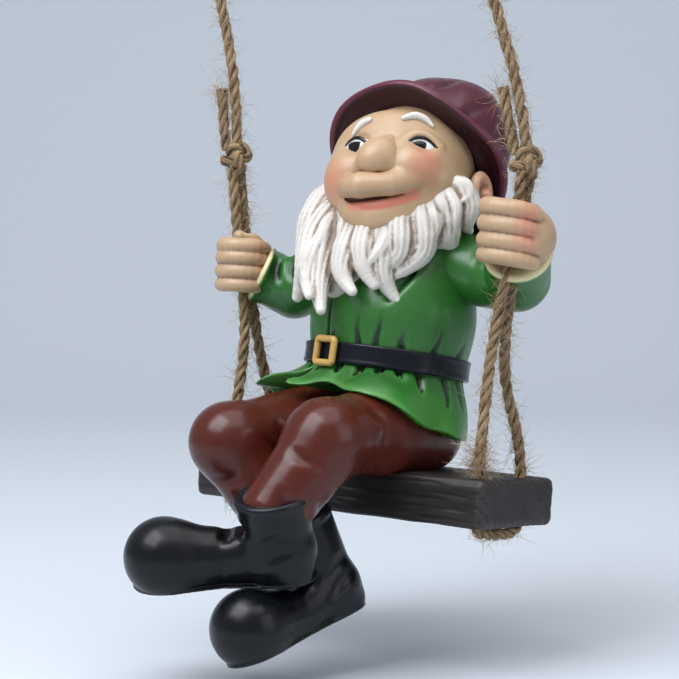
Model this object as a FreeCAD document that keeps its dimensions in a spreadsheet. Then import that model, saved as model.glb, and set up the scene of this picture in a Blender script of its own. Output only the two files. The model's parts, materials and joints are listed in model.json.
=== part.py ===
import FreeCAD, Part
import math
import os
import re
import Sketcher

# A garden gnome that sits on a plank swing, hung by two jute ropes.
# Seat frame: X to the gnome's left, Y to its back, Z up, with Z = 0 on the plank's top. Millimetres.
# Every seat piece then gets one common Placement, which tips the seat back about the seat knots
# and hangs it below the origin, the line that a bar or branch takes through both hang loops.

SIZES = {
    # ropes and knots
    "rope_diameter": 6.0,
    "rope_pair_gap": 0.5,  # between the two strands that share a fist
    "seat_knot_radius": 8.5,
    "loop_knot_radius": 8.0,
    "line_clearance": 0.3,  # between a knot and the line that turns on it
    "line_rise": 100.0,  # from a seat knot up to its loop knot
    "loop_rise": 34.0,  # from a loop knot up to the bar line
    "loop_half_width": 13.0,
    "left_line_lean": -26.0,  # how far each loop knot stands off its seat knot in X
    "right_line_lean": -12.5,
    "tail_gap": 0.4,
    "hang_pitch": 6.0,  # the seat tips back by this many degrees
    "knot_out": 95.6,
    "knot_back": -15.0,
    "knot_up": 161.0,
    # plank
    "plank_length": 190.0,
    "plank_depth": 70.0,
    "plank_thickness": 26.0,
    "plank_edge_radius": 3.5,
    "rope_hole_diameter": 9.5,
    "rope_plank_gap": 0.7,
    "rope_hole_out": 82.0,
    "rope_hole_back": 20.0,
    # waist, tunic and belt: half sizes of the ellipses, and heights along the trunk
    "trunk_lean": 6.0,
    "trunk_twist": -13.0,
    "waist_half_width": 45.0,
    "waist_half_depth": 39.0,
    "belt_low": 49.0,
    "belt_height": 11.0,
    "belt_thickness": 2.2,
    "belly_half_width": 49.0,
    "belly_half_depth": 42.0,
    "belly_up": 78.0,
    "chest_half_width": 44.0,
    "chest_half_depth": 35.0,
    "chest_up": 104.0,
    "shoulder_half_width": 33.0,
    "shoulder_half_depth": 25.0,
    "shoulder_up": 123.0,
    "hem_half_width": 57.0,
    "hem_half_depth": 54.0,
    "hem_up": 20.0,
    "hem_front": -8.0,
    "casting_wall": 6.0,
    "buckle_size": 14.0,
    "buckle_bar": 2.4,
    "buckle_depth": 3.0,
    # hat
    "hat_tilt": -55.0,
    "brim_radius": 51.0,
    "brim_inner_radius": 45.0,
    "brim_width": 15.0,
    "neck_hole_radius": 13.0,
    # hands
    "hand_bore_clearance": 1.5,
    "grip_reach": 30.0,
    "grip_lean": 9.3,
    "grip_back": -12.6,
    "left_grip_up": 124.0,
    "left_grip_out": 91.2,
    "right_grip_up": 102.0,
    "right_grip_out": 87.4,
}

# Balls that the limbs and the head are strung from: x, y, z and radius.
BALLS = {
    "skull": (0.0, 13.0, 160.0, 39.5),
    "jaw": (0.0, 0.0, 147.0, 31.0),
    "left_cheek": (19.0, -8.0, 153.0, 20.0),
    "right_cheek": (-15.0, -10.0, 153.0, 20.0),
    "nose_tip": (4.0, -30.0, 160.0, 9.5),
    "left_lobe": (40.0, 10.0, 153.0, 9.0),
    "right_lobe": (-40.0, 15.0, 152.5, 9.0),
    "left_eyeball": (20.0, -14.0, 169.0, 6.0),
    "right_eyeball": (-14.0, -18.0, 169.0, 6.0),
    "left_brow_in": (12.0, -12.0, 187.0, 3.0),
    "left_brow_out": (24.0, -6.0, 185.0, 2.6),
    "right_brow_in": (-8.0, -16.0, 184.0, 3.0),
    "right_brow_out": (-20.0, -12.0, 180.0, 2.6),
    "hat_crown": (0.0, 33.0, 169.0, 44.0),
    "brim_centre": (0.0, 22.0, 161.0, 50.0),
    "beard_mass": (-2.0, -8.0, 128.0, 37.0),
    "beard_lock": (-8.0, -30.0, 103.0, 18.0),
    "beard_tip": (-9.0, -42.0, 80.0, 5.0),
    "left_shoulder": (32.0, 12.0, 110.0, 18.5),
    "left_elbow": (76.0, 13.0, 103.0, 17.5),
    "left_cuff": (87.0, -4.0, 115.0, 14.5),
    "left_fist": (91.0, -17.0, 124.0, 18.5),
    "right_shoulder": (-33.0, 4.0, 110.0, 18.5),
    "right_elbow": (-66.0, 8.0, 90.0, 17.0),
    "right_cuff": (-79.0, -4.0, 97.0, 14.0),
    "right_fist": (-88.0, -12.0, 102.0, 16.5),
    "left_hip": (21.0, 6.0, 24.0, 23.5),
    "left_knee": (24.0, -74.0, 14.0, 19.5),
    "left_ankle": (12.0, -97.0, -22.0, 16.5),
    "left_heel": (12.0, -86.0, -45.0, 16.0),
    "left_instep": (-14.0, -104.0, -47.0, 16.5),
    "left_toe": (-38.0, -121.0, -50.0, 19.5),
    "right_hip": (-21.0, 6.0, 24.0, 23.0),
    "right_knee": (-36.0, -76.0, 8.0, 19.0),
    "right_ankle": (2.0, -60.0, -38.0, 15.5),
    "right_heel": (10.0, -46.0, -66.0, 15.0),
    "right_instep": (7.0, -72.0, -77.0, 15.5),
    "right_toe": (2.0, -98.0, -83.0, 19.0),
}
for ball, (x, y, z, radius) in BALLS.items():
    SIZES.update({ball + "_x": x, ball + "_y": y, ball + "_z": z, ball + "_r": radius})

SIDES = {"left": 1.0, "right": -1.0}
V = FreeCAD.Vector

doc = FreeCAD.newDocument("swing_gnome")
sheet = doc.addObject("Spreadsheet::Sheet", "sizes")
for row, (alias, number) in enumerate(SIZES.items(), 1):
    sheet.set("A%d" % row, alias)
    sheet.set("B%d" % row, str(number))
    sheet.setAlias("B%d" % row, alias)
doc.recompute()

pieces = []


# ---- helpers ----

def formula(text):
    """The text with each size's name turned into its cell."""
    return re.sub(r"[a-z]\w*", lambda w: "sizes." + w[0] if w[0] in SIZES else w[0], text)


def bind(item, **rules):
    """Ties properties of an object to the sheet. A double underscore stands for a dot."""
    for name, rule in rules.items():
        item.setExpression(name.replace("__", "."), formula(rule))
    return item


def place(x, y, z, turn="rotation(0; 0; 0)"):
    return "placement(vector(%s; %s; %s); %s)" % (x, y, z, turn)


HANG = place(
    "0",
    "-(knot_back * cos(hang_pitch) + knot_up * sin(hang_pitch))",
    "knot_back * sin(hang_pitch) - knot_up * cos(hang_pitch) - line_rise - loop_rise",
    "rotation(vector(1; 0; 0); -hang_pitch)",
)
TRUNK = "rotation(trunk_twist; 0; -trunk_lean)"


def boolean(kind, name, base, tools):
    if kind == "cut":
        item = doc.addObject("Part::Cut", name)
        item.Base = base
        item.Tool = tools[0] if len(tools) == 1 else boolean("fuse", name + "_tools", None, tools)
    else:
        item = doc.addObject("Part::MultiFuse" if kind == "fuse" else "Part::MultiCommon", name)
        item.Shapes = tools
    return item


def finish(name, item, seated=True):
    """Makes an object the sub-part of this name, on the hung seat if seated."""
    item.Label = name
    if seated:
        bind(item, Placement=HANG)
    pieces.append(item)
    return item


def ball(name, inset="0", turn="rotation(90; 0; 0)"):
    """A sphere whose seam faces the back, where nothing is cut from it."""
    item = doc.addObject("Part::Sphere", name + "_ball")
    at = place(name + "_x", name + "_y", name + "_z", turn)
    return bind(item, Radius="%s_r - %s" % (name, inset), Placement=at)


def taper(first, last, inset="0"):
    """A cone from one ball to the next."""
    run = {axis: "(%s_%s - %s_%s)" % (last, axis, first, axis) for axis in "xyz"}
    span = "sqrt(%s^2 + %s^2 + %s^2)" % (run["x"], run["y"], run["z"])
    turn = "rotation(vector(-%s; %s; 0); acos(%s / %s))" % (run["y"], run["x"], run["z"], span)
    item = doc.addObject("Part::Cone", first + "_to_" + last)
    bind(item, Radius1="%s_r - %s" % (first, inset), Radius2="%s_r - %s" % (last, inset), Height=span)
    return bind(item, Placement=place(first + "_x", first + "_y", first + "_z", turn))


def limb(name, stations, rounded, inset="0"):
    """Cones from ball to ball, with a ball at each station that is rounded."""
    solids = [taper(a, b, inset) for a, b in zip(stations, stations[1:])]
    solids += [ball(station, inset) for station in rounded]
    return boolean("fuse", name, None, solids)


def ellipse(name, half_width, half_depth, up, front="0"):
    item = doc.addObject("Part::Ellipse", name)
    bind(item, MajorRadius=half_width, MinorRadius=half_depth)
    return bind(item, Placement=place("0", front, up))


def loft(name, rings):
    item = doc.addObject("Part::Loft", name)
    item.Sections = rings
    item.Solid = True
    return item


def on_trunk(item):
    return bind(item, Placement=place("0", "0", "0", TRUNK))


# ---- ropes ----

def route(points):
    """Straight runs joined by tangent arcs, each as large as its two runs allow."""
    edges = []
    start = points[0]
    for before, corner, after in zip(points, points[1:], points[2:]):
        inward, outward = corner - before, after - corner
        turn = inward.getAngle(outward)
        setback = 0.45 * min(inward.Length, outward.Length)
        radius = setback / math.tan(turn / 2)
        inward.normalize()
        outward.normalize()
        first, last = corner - inward * setback, corner + outward * setback
        bisector = (outward - inward).normalize()
        middle = corner + bisector * (radius / math.cos(turn / 2) - radius)
        edges.append(Part.LineSegment(start, first).toShape())
        edges.append(Part.Arc(first, middle, last).toShape())
        start = last
        print("    arc radius %.1f" % radius)
    edges.append(Part.LineSegment(start, points[-1]).toShape())
    return Part.Wire(edges)


def rope(name, points):
    """A tube of the rope's diameter along a route, with its volume compared."""
    print("rope", name)
    path = doc.addObject("Part::Feature", name + "_path")
    path.Shape = route(points)
    section = bind(doc.addObject("Part::Circle", name + "_section"), Radius="rope_diameter / 2")
    aim = FreeCAD.Rotation(V(0, 0, 1), points[1] - points[0])
    section.Placement = FreeCAD.Placement(points[0], aim)
    tube = doc.addObject("Part::Sweep", name + "_tube")
    tube.Sections = [section]
    tube.Spine = (path, ["Edge%d" % (i + 1) for i in range(len(path.Shape.Edges))])
    tube.Solid = True
    doc.recompute()
    expected = math.pi * SIZES["rope_diameter"] ** 2 / 4 * path.Shape.Length
    print("    length %.1f  volume %.0f of %.0f" % (path.Shape.Length, tube.Shape.Volume, expected))
    if abs(tube.Shape.Volume / expected - 1) > 0.01:
        raise ValueError(name + " has the wrong volume")
    return tube


def clearance_ball(name, at, knot_radius, gap="0"):
    """The space that a knot takes out of the rope that ends on it."""
    item = doc.addObject("Part::Sphere", name)
    return bind(item, Radius="%s + %s" % (knot_radius, gap), Placement=at)


knot_out, knot_back, knot_up = SIZES["knot_out"], SIZES["knot_back"], SIZES["knot_up"]
hole_out, hole_back = SIZES["rope_hole_out"], SIZES["rope_hole_back"]
grip_back = SIZES["grip_back"]
half_pair = (SIZES["rope_diameter"] + SIZES["rope_pair_gap"]) / 2

# the height of the rope's middle where it lies under the plank
under = SIZES["plank_thickness"] + SIZES["rope_diameter"] / 2 + SIZES["rope_plank_gap"]

for side, sign in SIDES.items():
    # Each route runs from the knot's front, down through the fist and the plank's front hole,
    # under the plank, and back up through the rear hole and the fist to the knot's back.
    grip_up, grip_out = SIZES[side + "_grip_up"], SIZES[side + "_grip_out"]
    down = [
        V(sign * knot_out, knot_back - half_pair, knot_up - 4),
        V(sign * grip_out, grip_back - half_pair, grip_up),
        V(sign * 80.5, -11.0 - half_pair, 62),
        V(sign * hole_out, -hole_back, 16),
        V(sign * hole_out, -hole_back + 0.4, -8),
        V(sign * hole_out, -hole_back, -20),
        V(sign * hole_out, -hole_back + 1.0, -under + 2.8),
        V(sign * hole_out, -hole_back + 5.5, -under),
        V(sign * hole_out, -5, -under - 0.3),
    ]
    up = [
        V(sign * hole_out, 5, -under - 0.3),
        V(sign * hole_out, hole_back - 5.5, -under),
        V(sign * hole_out, hole_back - 1.0, -under + 2.8),
        V(sign * hole_out, hole_back, -20),
        V(sign * hole_out, hole_back - 0.4, -8),
        V(sign * hole_out, hole_back - 2.0, 15),
        V(sign * 80.5, -9.0 + half_pair, 60),
        V(sign * grip_out, grip_back + half_pair, grip_up),
        V(sign * knot_out, knot_back + half_pair, knot_up - 4),
    ]
    seat_rope = rope(side + "_seat_rope", down + up)
    seat_knot = place("%g * knot_out" % sign, "knot_back", "knot_up")
    knot_space = clearance_ball(side + "_seat_knot_space", seat_knot, "seat_knot_radius")
    finish(side + "_seat_rope", boolean("cut", side + "_seat_rope_node", seat_rope, [knot_space]))

    at_seat_knot = place("%g * knot_out" % sign, "0", "-line_rise - loop_rise")
    at_loop_knot = place("%g * knot_out + %s_line_lean" % (sign, side), "0", "-loop_rise")
    knot = bind(doc.addObject("Part::Sphere", side + "_seat_knot_node"), Radius="seat_knot_radius")
    finish(side + "_seat_knot", bind(knot, Placement=at_seat_knot), seated=False)
    knot = bind(doc.addObject("Part::Sphere", side + "_loop_knot_node"), Radius="loop_knot_radius")
    finish(side + "_loop_knot", bind(knot, Placement=at_loop_knot), seated=False)

    # the hang line, from the seat knot up to the loop knot
    lean, rise = SIZES[side + "_line_lean"], SIZES["line_rise"]
    low = -rise - SIZES["loop_rise"]
    seat_end, loop_end = V(sign * knot_out, 0, low), V(sign * knot_out + lean, 0, low + rise)
    bow = V(4.5, 0.6, 0)
    line = rope(side + "_hang_line", [
        seat_end + V(0.5, 0, 3),
        seat_end + (loop_end - seat_end) * 0.34 + bow,
        seat_end + (loop_end - seat_end) * 0.68 + bow * 0.5,
        loop_end + V(0, 0, -3),
    ])
    gaps = [
        clearance_ball(side + "_line_foot", at_seat_knot, "seat_knot_radius", "line_clearance"),
        clearance_ball(side + "_line_head", at_loop_knot, "loop_knot_radius", "line_clearance"),
    ]
    finish(side + "_hang_line", boolean("cut", side + "_hang_line_node", line, gaps), seated=False)

    # the cut tail, which stands beside the line above the seat knot
    aside = SIZES["rope_diameter"] + SIZES["tail_gap"]
    tail = rope(side + "_rope_tail", [
        seat_end + V(-aside * 0.9, -1.5, 4),
        seat_end + (loop_end - seat_end) * 0.2 + V(2.2 - aside, -2.6, 0),
        seat_end + (loop_end - seat_end) * 0.38 + V(3.4 - aside * 1.1, -1.6, 0),
    ])
    foot = clearance_ball(side + "_tail_foot", at_seat_knot, "seat_knot_radius", "line_clearance")
    finish(side + "_rope_tail", boolean("cut", side + "_tail_node", tail, [foot, line]), seated=False)

    # the hang loop, a tied eye that stands on the loop knot
    half, top = SIZES["loop_half_width"], SIZES["loop_rise"] + SIZES["rope_diameter"] / 2
    eye = rope(side + "_hang_loop", [
        loop_end + V(0, -2.5, 4),
        loop_end + V(0, -half, 15),
        loop_end + V(0, -half, top - 7),
        loop_end + V(0, -half * 0.45, top),
        loop_end + V(0, half * 0.45, top),
        loop_end + V(0, half, top - 7),
        loop_end + V(0, half, 15),
        loop_end + V(0, 2.5, 4),
    ])
    knot_space = clearance_ball(side + "_loop_space", at_loop_knot, "loop_knot_radius")
    finish(side + "_hang_loop", boolean("cut", side + "_loop_node", eye, [knot_space]), seated=False)


# ---- plank ----

plank = doc.addObject("PartDesign::Body", "plank_body")
top_plane = next(f for f in plank.Origin.OriginFeatures if f.Role == "XY_Plane")


def plank_sketch(name):
    sketch = plank.newObject("Sketcher::SketchObject", name)
    sketch.AttachmentSupport = (top_plane, [""])
    sketch.MapMode = "FlatFace"
    return sketch


board = plank_sketch("board_outline")
half_length, half_depth = SIZES["plank_length"] / 2, SIZES["plank_depth"] / 2
corners = [V(-half_length, -half_depth, 0), V(half_length, -half_depth, 0)]
corners += [V(half_length, half_depth, 0), V(-half_length, half_depth, 0)]
for start, end in zip(corners, corners[1:] + corners[:1]):
    board.addGeometry(Part.LineSegment(start, end))
for edge, way in enumerate(["Horizontal", "Vertical"] * 2):
    board.addConstraint(Sketcher.Constraint("Coincident", edge, 2, (edge + 1) % 4, 1))
    board.addConstraint(Sketcher.Constraint(way, edge))
board.addConstraint(Sketcher.Constraint("Symmetric", 0, 1, 1, 2, -1, 1))
for edge, kind, size in ((0, "DistanceX", "plank_length"), (1, "DistanceY", "plank_depth")):
    width = board.addConstraint(Sketcher.Constraint(kind, edge, 1, edge, 2, SIZES[size]))
    board.renameConstraint(width, size)
    board.setExpression("Constraints." + size, "sizes." + size)
pad = plank.newObject("PartDesign::Pad", "board")
pad.Profile = board
pad.Reversed = True
bind(pad, Length="plank_thickness")

holes = plank_sketch("rope_holes")
for sign_x in SIDES.values():
    for sign_y in SIDES.values():
        centre = V(sign_x * hole_out, sign_y * hole_back, 0)
        hole = holes.addGeometry(Part.Circle(centre, V(0, 0, 1), SIZES["rope_hole_diameter"] / 2))
        rules = (("Diameter", "rope_hole_diameter", 1), ("DistanceX", "rope_hole_out", sign_x),
                 ("DistanceY", "rope_hole_back", sign_y))
        for kind, size, sign in rules:
            ends = (hole,) if kind == "Diameter" else (-1, 1, hole, 3)
            rule = holes.addConstraint(Sketcher.Constraint(kind, *ends, sign * SIZES[size]))
            holes.setExpression("Constraints[%d]" % rule, "%g * sizes.%s" % (sign, size))
bores = plank.newObject("PartDesign::Pocket", "bores")
bores.Profile = holes
bores.Type = "ThroughAll"
doc.recompute()
outer = [
    "Edge%d" % (i + 1) for i, edge in enumerate(bores.Shape.Edges)
    if isinstance(edge.Curve, Part.Line)
]
rounding = plank.newObject("PartDesign::Fillet", "worn_edges")
rounding.Base = (bores, outer)
bind(rounding, Radius="plank_edge_radius")
doc.recompute()
print("plank volume %.0f" % plank.Shape.Volume)
finish("plank", plank)

seat_block = doc.addObject("Part::Box", "seat_block")
bind(seat_block, Length="plank_length", Width="plank_depth", Height="plank_thickness")
bind(seat_block, Placement=place("-plank_length / 2", "-plank_depth / 2", "-plank_thickness"))


# ---- legs ----

# The casting is hollow. Each leg's hollow opens at the ankle, into the boot's.
legs, boots, hollows = {}, {}, {}
for side in SIDES:
    stations = [side + "_" + joint for joint in ("hip", "knee", "ankle")]
    legs[side] = limb(side + "_leg", stations, stations[:2])
    leg_hollow = limb(side + "_leg_hollow", stations, stations[:2], "casting_wall")
    stations = [side + "_" + joint for joint in ("ankle", "heel", "instep", "toe")]
    boots[side] = limb(side + "_boot_form", stations, stations[1:])
    boot_hollow = limb(side + "_boot_hollow", stations, stations[1:], "casting_wall")
    hollows[side] = [leg_hollow, boot_hollow]

boot_tools = {
    "left": [legs["left"], legs["right"], boots["right"], hollows["left"][1]],
    "right": [legs["right"], hollows["right"][1]],
}
leg_tools = {
    "left": [seat_block, boots["right"], hollows["left"][0]],
    "right": [seat_block, legs["left"], hollows["right"][0]],
}
for side in SIDES:
    finish(side + "_boot", boolean("cut", side + "_boot_node", boots[side], boot_tools[side]))
    leg = boolean("cut", side + "_leg_node", legs[side], leg_tools[side])
    finish(side + "_trouser_leg", leg)


# ---- tunic, belt and buckle ----

def waist_ring(name, up, extra="0"):
    width, depth = "waist_half_width + " + extra, "waist_half_depth + " + extra
    return ellipse(name, width, depth, up)


belt_top = "belt_low + belt_height"
trunk = on_trunk(loft("trunk", [
    waist_ring("waist_low", "belt_low"),
    waist_ring("waist_high", belt_top),
    ellipse("belly_ring", "belly_half_width", "belly_half_depth", "belly_up"),
    ellipse("chest_ring", "chest_half_width", "chest_half_depth", "chest_up"),
    ellipse("shoulder_ring", "shoulder_half_width", "shoulder_half_depth", "shoulder_up"),
]))
belt_outer = loft("belt_outer", [
    waist_ring("belt_ring_low", "belt_low", "belt_thickness"),
    waist_ring("belt_ring_high", belt_top, "belt_thickness"),
])
belt_inner = loft("belt_inner", [
    waist_ring("belt_bore_low", "belt_low - 1"),
    waist_ring("belt_bore_high", belt_top + " + 1"),
])
belt = on_trunk(boolean("cut", "belt_form", belt_outer, [belt_inner]))

frame_outer = doc.addObject("Part::Box", "buckle_outer")
frame_inner = doc.addObject("Part::Box", "buckle_inner")
front = "-(waist_half_depth + belt_thickness + %s)"
for frame_box, size in ((frame_outer, "buckle_size"), (frame_inner, "(buckle_size - 2 * buckle_bar)")):
    bind(frame_box, Length=size, Height=size, Width="buckle_depth + 4")
    up = "belt_low + belt_height / 2 - %s / 2" % size
    bind(frame_box, Placement=place("-%s / 2" % size, front % "buckle_depth / 2", up))
buckle = on_trunk(boolean("cut", "buckle_form", frame_outer, [frame_inner]))
belt_body = on_trunk(loft("belt_body", [
    waist_ring("belt_body_low", "belt_low - 3", "belt_thickness"),
    waist_ring("belt_body_high", belt_top + " + 3", "belt_thickness"),
]))

skirt_rings = [
    ("skirt_ring_top", "waist_half_width", "waist_half_depth", "belt_low", "0"),
    ("skirt_ring_mid", "waist_half_width * 0.5 + hem_half_width * 0.5",
     "waist_half_depth * 0.5 + hem_half_depth * 0.5", "belt_low * 0.5 + hem_up * 0.5", "hem_front / 2"),
    ("skirt_ring_hem", "hem_half_width", "hem_half_depth", "hem_up", "hem_front"),
]
skirt = on_trunk(loft("skirt_form", [ellipse(*ring) for ring in skirt_rings]))

arms = {}
fists = {}
for side, sign in SIDES.items():
    stations = [side + "_" + joint for joint in ("shoulder", "elbow", "cuff")]
    arms[side] = limb(side + "_arm", stations, stations[:2])
    fists[side] = ball(side + "_fist")

head_form = boolean("fuse", "head_form", None, [
    ball("skull"), ball("jaw"), ball("left_cheek"), ball("right_cheek"),
])
beard_stations = ["beard_mass", "beard_lock", "beard_tip"]
beard_form = limb("beard_form", beard_stations, beard_stations)
trunk_hollow = on_trunk(loft("trunk_hollow", [
    waist_ring("hollow_low", "belt_low", "-casting_wall"),
    waist_ring("hollow_high", "belly_up", "-casting_wall"),
    ellipse("hollow_top", "shoulder_half_width - casting_wall", "shoulder_half_depth - casting_wall",
            "chest_up"),
]))
finish("tunic_body", boolean("cut", "tunic_body_node", trunk, [head_form, trunk_hollow]))
finish("belt", boolean("cut", "belt_node", belt, [legs["left"], legs["right"]]))
finish("buckle", boolean("cut", "buckle_node", buckle, [belt_body]))
finish("tunic_skirt", boolean("cut", "tunic_skirt_node", skirt, [legs["left"], legs["right"], seat_block]))
for side, sign in SIDES.items():
    bore = doc.addObject("Part::Box", side + "_bore")
    width = "(rope_diameter + 2 * hand_bore_clearance)"
    depth = "(2 * rope_diameter + rope_pair_gap + 2 * hand_bore_clearance)"
    bind(bore, Length=width, Width=depth, Height="2 * grip_reach")
    out = "%g * (%s_grip_out - grip_reach * tan(grip_lean)) - %s / 2" % (sign, side, width)
    at = place(out, "grip_back - %s / 2" % depth, side + "_grip_up - grip_reach",
               "rotation(0; %g * grip_lean; 0)" % sign)
    bind(bore, Placement=at)
    sleeve = boolean("cut", side + "_sleeve_node", arms[side], [trunk, head_form, bore])
    finish(side + "_sleeve", sleeve)
    finish(side + "_hand", boolean("cut", side + "_hand_node", fists[side], [arms[side], bore]))


# ---- head, face and hat ----

eyes = {side: ball(side + "_eyeball") for side in SIDES}
lobes = {side: ball(side + "_lobe") for side in SIDES}
brows = {}
for side in SIDES:
    stations = [side + "_brow_in", side + "_brow_out"]
    brows[side] = limb(side + "_brow", stations, stations)
neck_hole = doc.addObject("Part::Cone", "neck_hole")
bind(neck_hole, Radius1="neck_hole_radius", Radius2="neck_hole_radius + 2", Height="skull_z - jaw_z + jaw_r")
bind(neck_hole, Placement=place("jaw_x", "jaw_y", "jaw_z - jaw_r - 1"))
head_hollow = [ball("skull", "casting_wall"), neck_hole]
finish("head", boolean("cut", "head_node", head_form, list(eyes.values()) + head_hollow))
nose = ball("nose_tip")
finish("nose", boolean("cut", "nose_node", nose, [head_form]))

tilt = "rotation(vector(1; 0; 0); hat_tilt)"
crown = ball("hat_crown")
brim = doc.addObject("Part::Cone", "brim_flare")
bind(brim, Radius1="brim_radius", Radius2="brim_inner_radius", Height="brim_width")
bind(brim, Placement=place("brim_centre_x", "brim_centre_y", "brim_centre_z", tilt))
face_side = doc.addObject("Part::Box", "face_side")
bind(face_side, Length="300", Width="300", Height="100")
bind(face_side, Placement=place("-150", "brim_centre_y - 150 * cos(hat_tilt) + 100 * sin(hat_tilt)",
                                "brim_centre_z - 150 * sin(hat_tilt) - 100 * cos(hat_tilt)", tilt))
hat_form = boolean("cut", "hat_form", boolean("fuse", "hat_fuse", None, [crown, brim]), [face_side])
finish("hat", boolean("cut", "hat_node", hat_form, [head_form, trunk]))
for side in SIDES:
    finish(side + "_eye", boolean("common", side + "_eye_node", None, [eyes[side], head_form]))
    finish(side + "_ear", boolean("cut", side + "_ear_node", lobes[side], [head_form, hat_form]))
    finish(side + "_eyebrow", boolean("cut", side + "_brow_node", brows[side], [head_form, hat_form]))
beard_tools = [head_form, nose, trunk, arms["left"], arms["right"], hat_form, lobes["left"], lobes["right"]]
finish("beard", boolean("cut", "beard_node", beard_form, beard_tools))


# ---- check and write ----

doc.recompute()
for item in doc.Objects:
    if "Invalid" in item.State or "Error" in item.State:
        raise RuntimeError(item.Name + " failed")
os.makedirs("parts", exist_ok=True)
for item in pieces:
    shape = item.Shape
    if shape.isNull() or not shape.isValid() or not shape.Solids:
        raise RuntimeError(item.Label + " has no valid solid")
    print("%-20s solids %d  volume %8.0f" % (item.Label, len(shape.Solids), shape.Volume))
    shape.exportStep("parts/%s.step" % item.Label)
print(len(pieces), "sub-parts")
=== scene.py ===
# %% [markdown]
# # A garden gnome on a rope swing
# The real ornament is cast in polyresin, painted by hand, and hung on two jute ropes.
# The plain solids of the design come first, as a fixed frame. Everything made here stands
# around them: sculpted skins for the figure, a carved plank, and ropes with real strands.

# %% Load the frame
import json
import math

import bpy
import numpy as np
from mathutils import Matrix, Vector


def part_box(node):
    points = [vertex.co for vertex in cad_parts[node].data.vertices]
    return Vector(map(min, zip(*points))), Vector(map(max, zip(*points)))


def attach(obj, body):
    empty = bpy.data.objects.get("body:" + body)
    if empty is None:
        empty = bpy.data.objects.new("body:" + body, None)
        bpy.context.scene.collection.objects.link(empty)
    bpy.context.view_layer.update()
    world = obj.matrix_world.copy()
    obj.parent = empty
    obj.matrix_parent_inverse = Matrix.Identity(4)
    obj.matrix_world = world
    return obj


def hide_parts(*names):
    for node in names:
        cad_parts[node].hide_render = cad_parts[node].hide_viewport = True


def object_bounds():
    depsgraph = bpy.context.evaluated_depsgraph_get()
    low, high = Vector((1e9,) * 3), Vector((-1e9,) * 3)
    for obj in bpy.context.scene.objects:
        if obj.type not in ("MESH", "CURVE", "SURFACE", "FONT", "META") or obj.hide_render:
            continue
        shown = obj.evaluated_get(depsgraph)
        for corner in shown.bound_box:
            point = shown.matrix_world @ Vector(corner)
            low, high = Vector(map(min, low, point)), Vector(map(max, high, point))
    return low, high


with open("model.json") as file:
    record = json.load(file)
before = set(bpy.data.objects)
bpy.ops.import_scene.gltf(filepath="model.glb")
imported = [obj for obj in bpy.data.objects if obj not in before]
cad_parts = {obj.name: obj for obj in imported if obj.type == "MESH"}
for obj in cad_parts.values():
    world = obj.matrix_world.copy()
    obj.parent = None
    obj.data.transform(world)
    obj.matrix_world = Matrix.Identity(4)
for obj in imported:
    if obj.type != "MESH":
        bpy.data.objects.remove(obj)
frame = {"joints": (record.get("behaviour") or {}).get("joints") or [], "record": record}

import openvdb
from mathutils import Matrix, Vector

cad_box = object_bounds()
print("frame box, metres:", [[round(v, 3) for v in corner] for corner in cad_box])

# %% [markdown]
# ## Where the seat is
# The seat hangs tipped back a few degrees. Sculpting is easier on a level seat, so every form of
# the figure is made in millimetres over a level plank, and one matrix then moves it into place.
# The plank's underside gives that matrix: it is stored with the design as a place to rest on.

# %% From level seat to hung seat
MM = 0.001
PLANK_THICKNESS = 26.0

underside = next(m for m in frame["record"]["mounts"] if m["name"] == "plank_underside")
seat_up = -Vector(underside["axis"]).normalized()
seat_left = Vector((1.0, 0.0, 0.0))
seat_back = seat_up.cross(seat_left)
seat_origin = Vector(underside["pos_m"]) + seat_up * PLANK_THICKNESS * MM
SEAT = Matrix((seat_left, seat_back, seat_up)).transposed().to_4x4()
SEAT.translation = seat_origin
print("the seat tips back by %.1f degrees" % math.degrees(math.asin(-underside["axis"][1])))


def on_seat(x, y, z):
    """A point given in millimetres over the level plank, in metres on the hung seat."""
    return SEAT @ (Vector((x, y, z)) * MM)


def unit(way):
    """The same direction, one long."""
    return way / np.linalg.norm(way)


# %% [markdown]
# ## The camera, the floor and the lights
# A long lens from a little above the plank keeps the figure's proportions. Soft light from the
# upper left and a pale floor are what a small product is usually shown in.

# %% Camera
AIM = Vector((0.0, 0.0, -0.250))
CAMERA_TURN, CAMERA_LIFT, CAMERA_DISTANCE = math.radians(36.5), math.radians(6.6), 1.25
LENS_PER_WIDTH = 3.435
SHIFT_X, SHIFT_Y = -0.052, 0.056

camera_data = bpy.data.cameras.new("camera")
camera = bpy.data.objects.new("camera", camera_data)
bpy.context.scene.collection.objects.link(camera)
toward_camera = Vector((
    math.sin(CAMERA_TURN) * math.cos(CAMERA_LIFT),
    -math.cos(CAMERA_TURN) * math.cos(CAMERA_LIFT),
    math.sin(CAMERA_LIFT),
))
camera.location = AIM + toward_camera * CAMERA_DISTANCE
camera.rotation_euler = (-toward_camera).to_track_quat("-Z", "Y").to_euler()
camera_data.lens = camera_data.sensor_width * LENS_PER_WIDTH
camera_data.shift_x, camera_data.shift_y = SHIFT_X, SHIFT_Y
bpy.context.scene.camera = camera

# %% Colours and node helpers
def srgb(code):
    """A hex colour as the linear numbers that a shader takes."""
    parts = [int(code[i:i + 2], 16) / 255 for i in (1, 3, 5)]
    return [c / 12.92 if c <= 0.04045 else ((c + 0.055) / 1.055) ** 2.4 for c in parts] + [1.0]


def add_node(tree, kind, settings=None, links=None):
    """One node with its settings, by attribute or by socket, and its input links."""
    node = tree.nodes.new(kind)
    for name, value in (settings or {}).items():
        if isinstance(name, str) and hasattr(node, name):
            setattr(node, name, value)
        else:
            node.inputs[name].default_value = value
    for name, source in (links or {}).items():
        tree.links.new(source, node.inputs[name])
    return node


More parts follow.
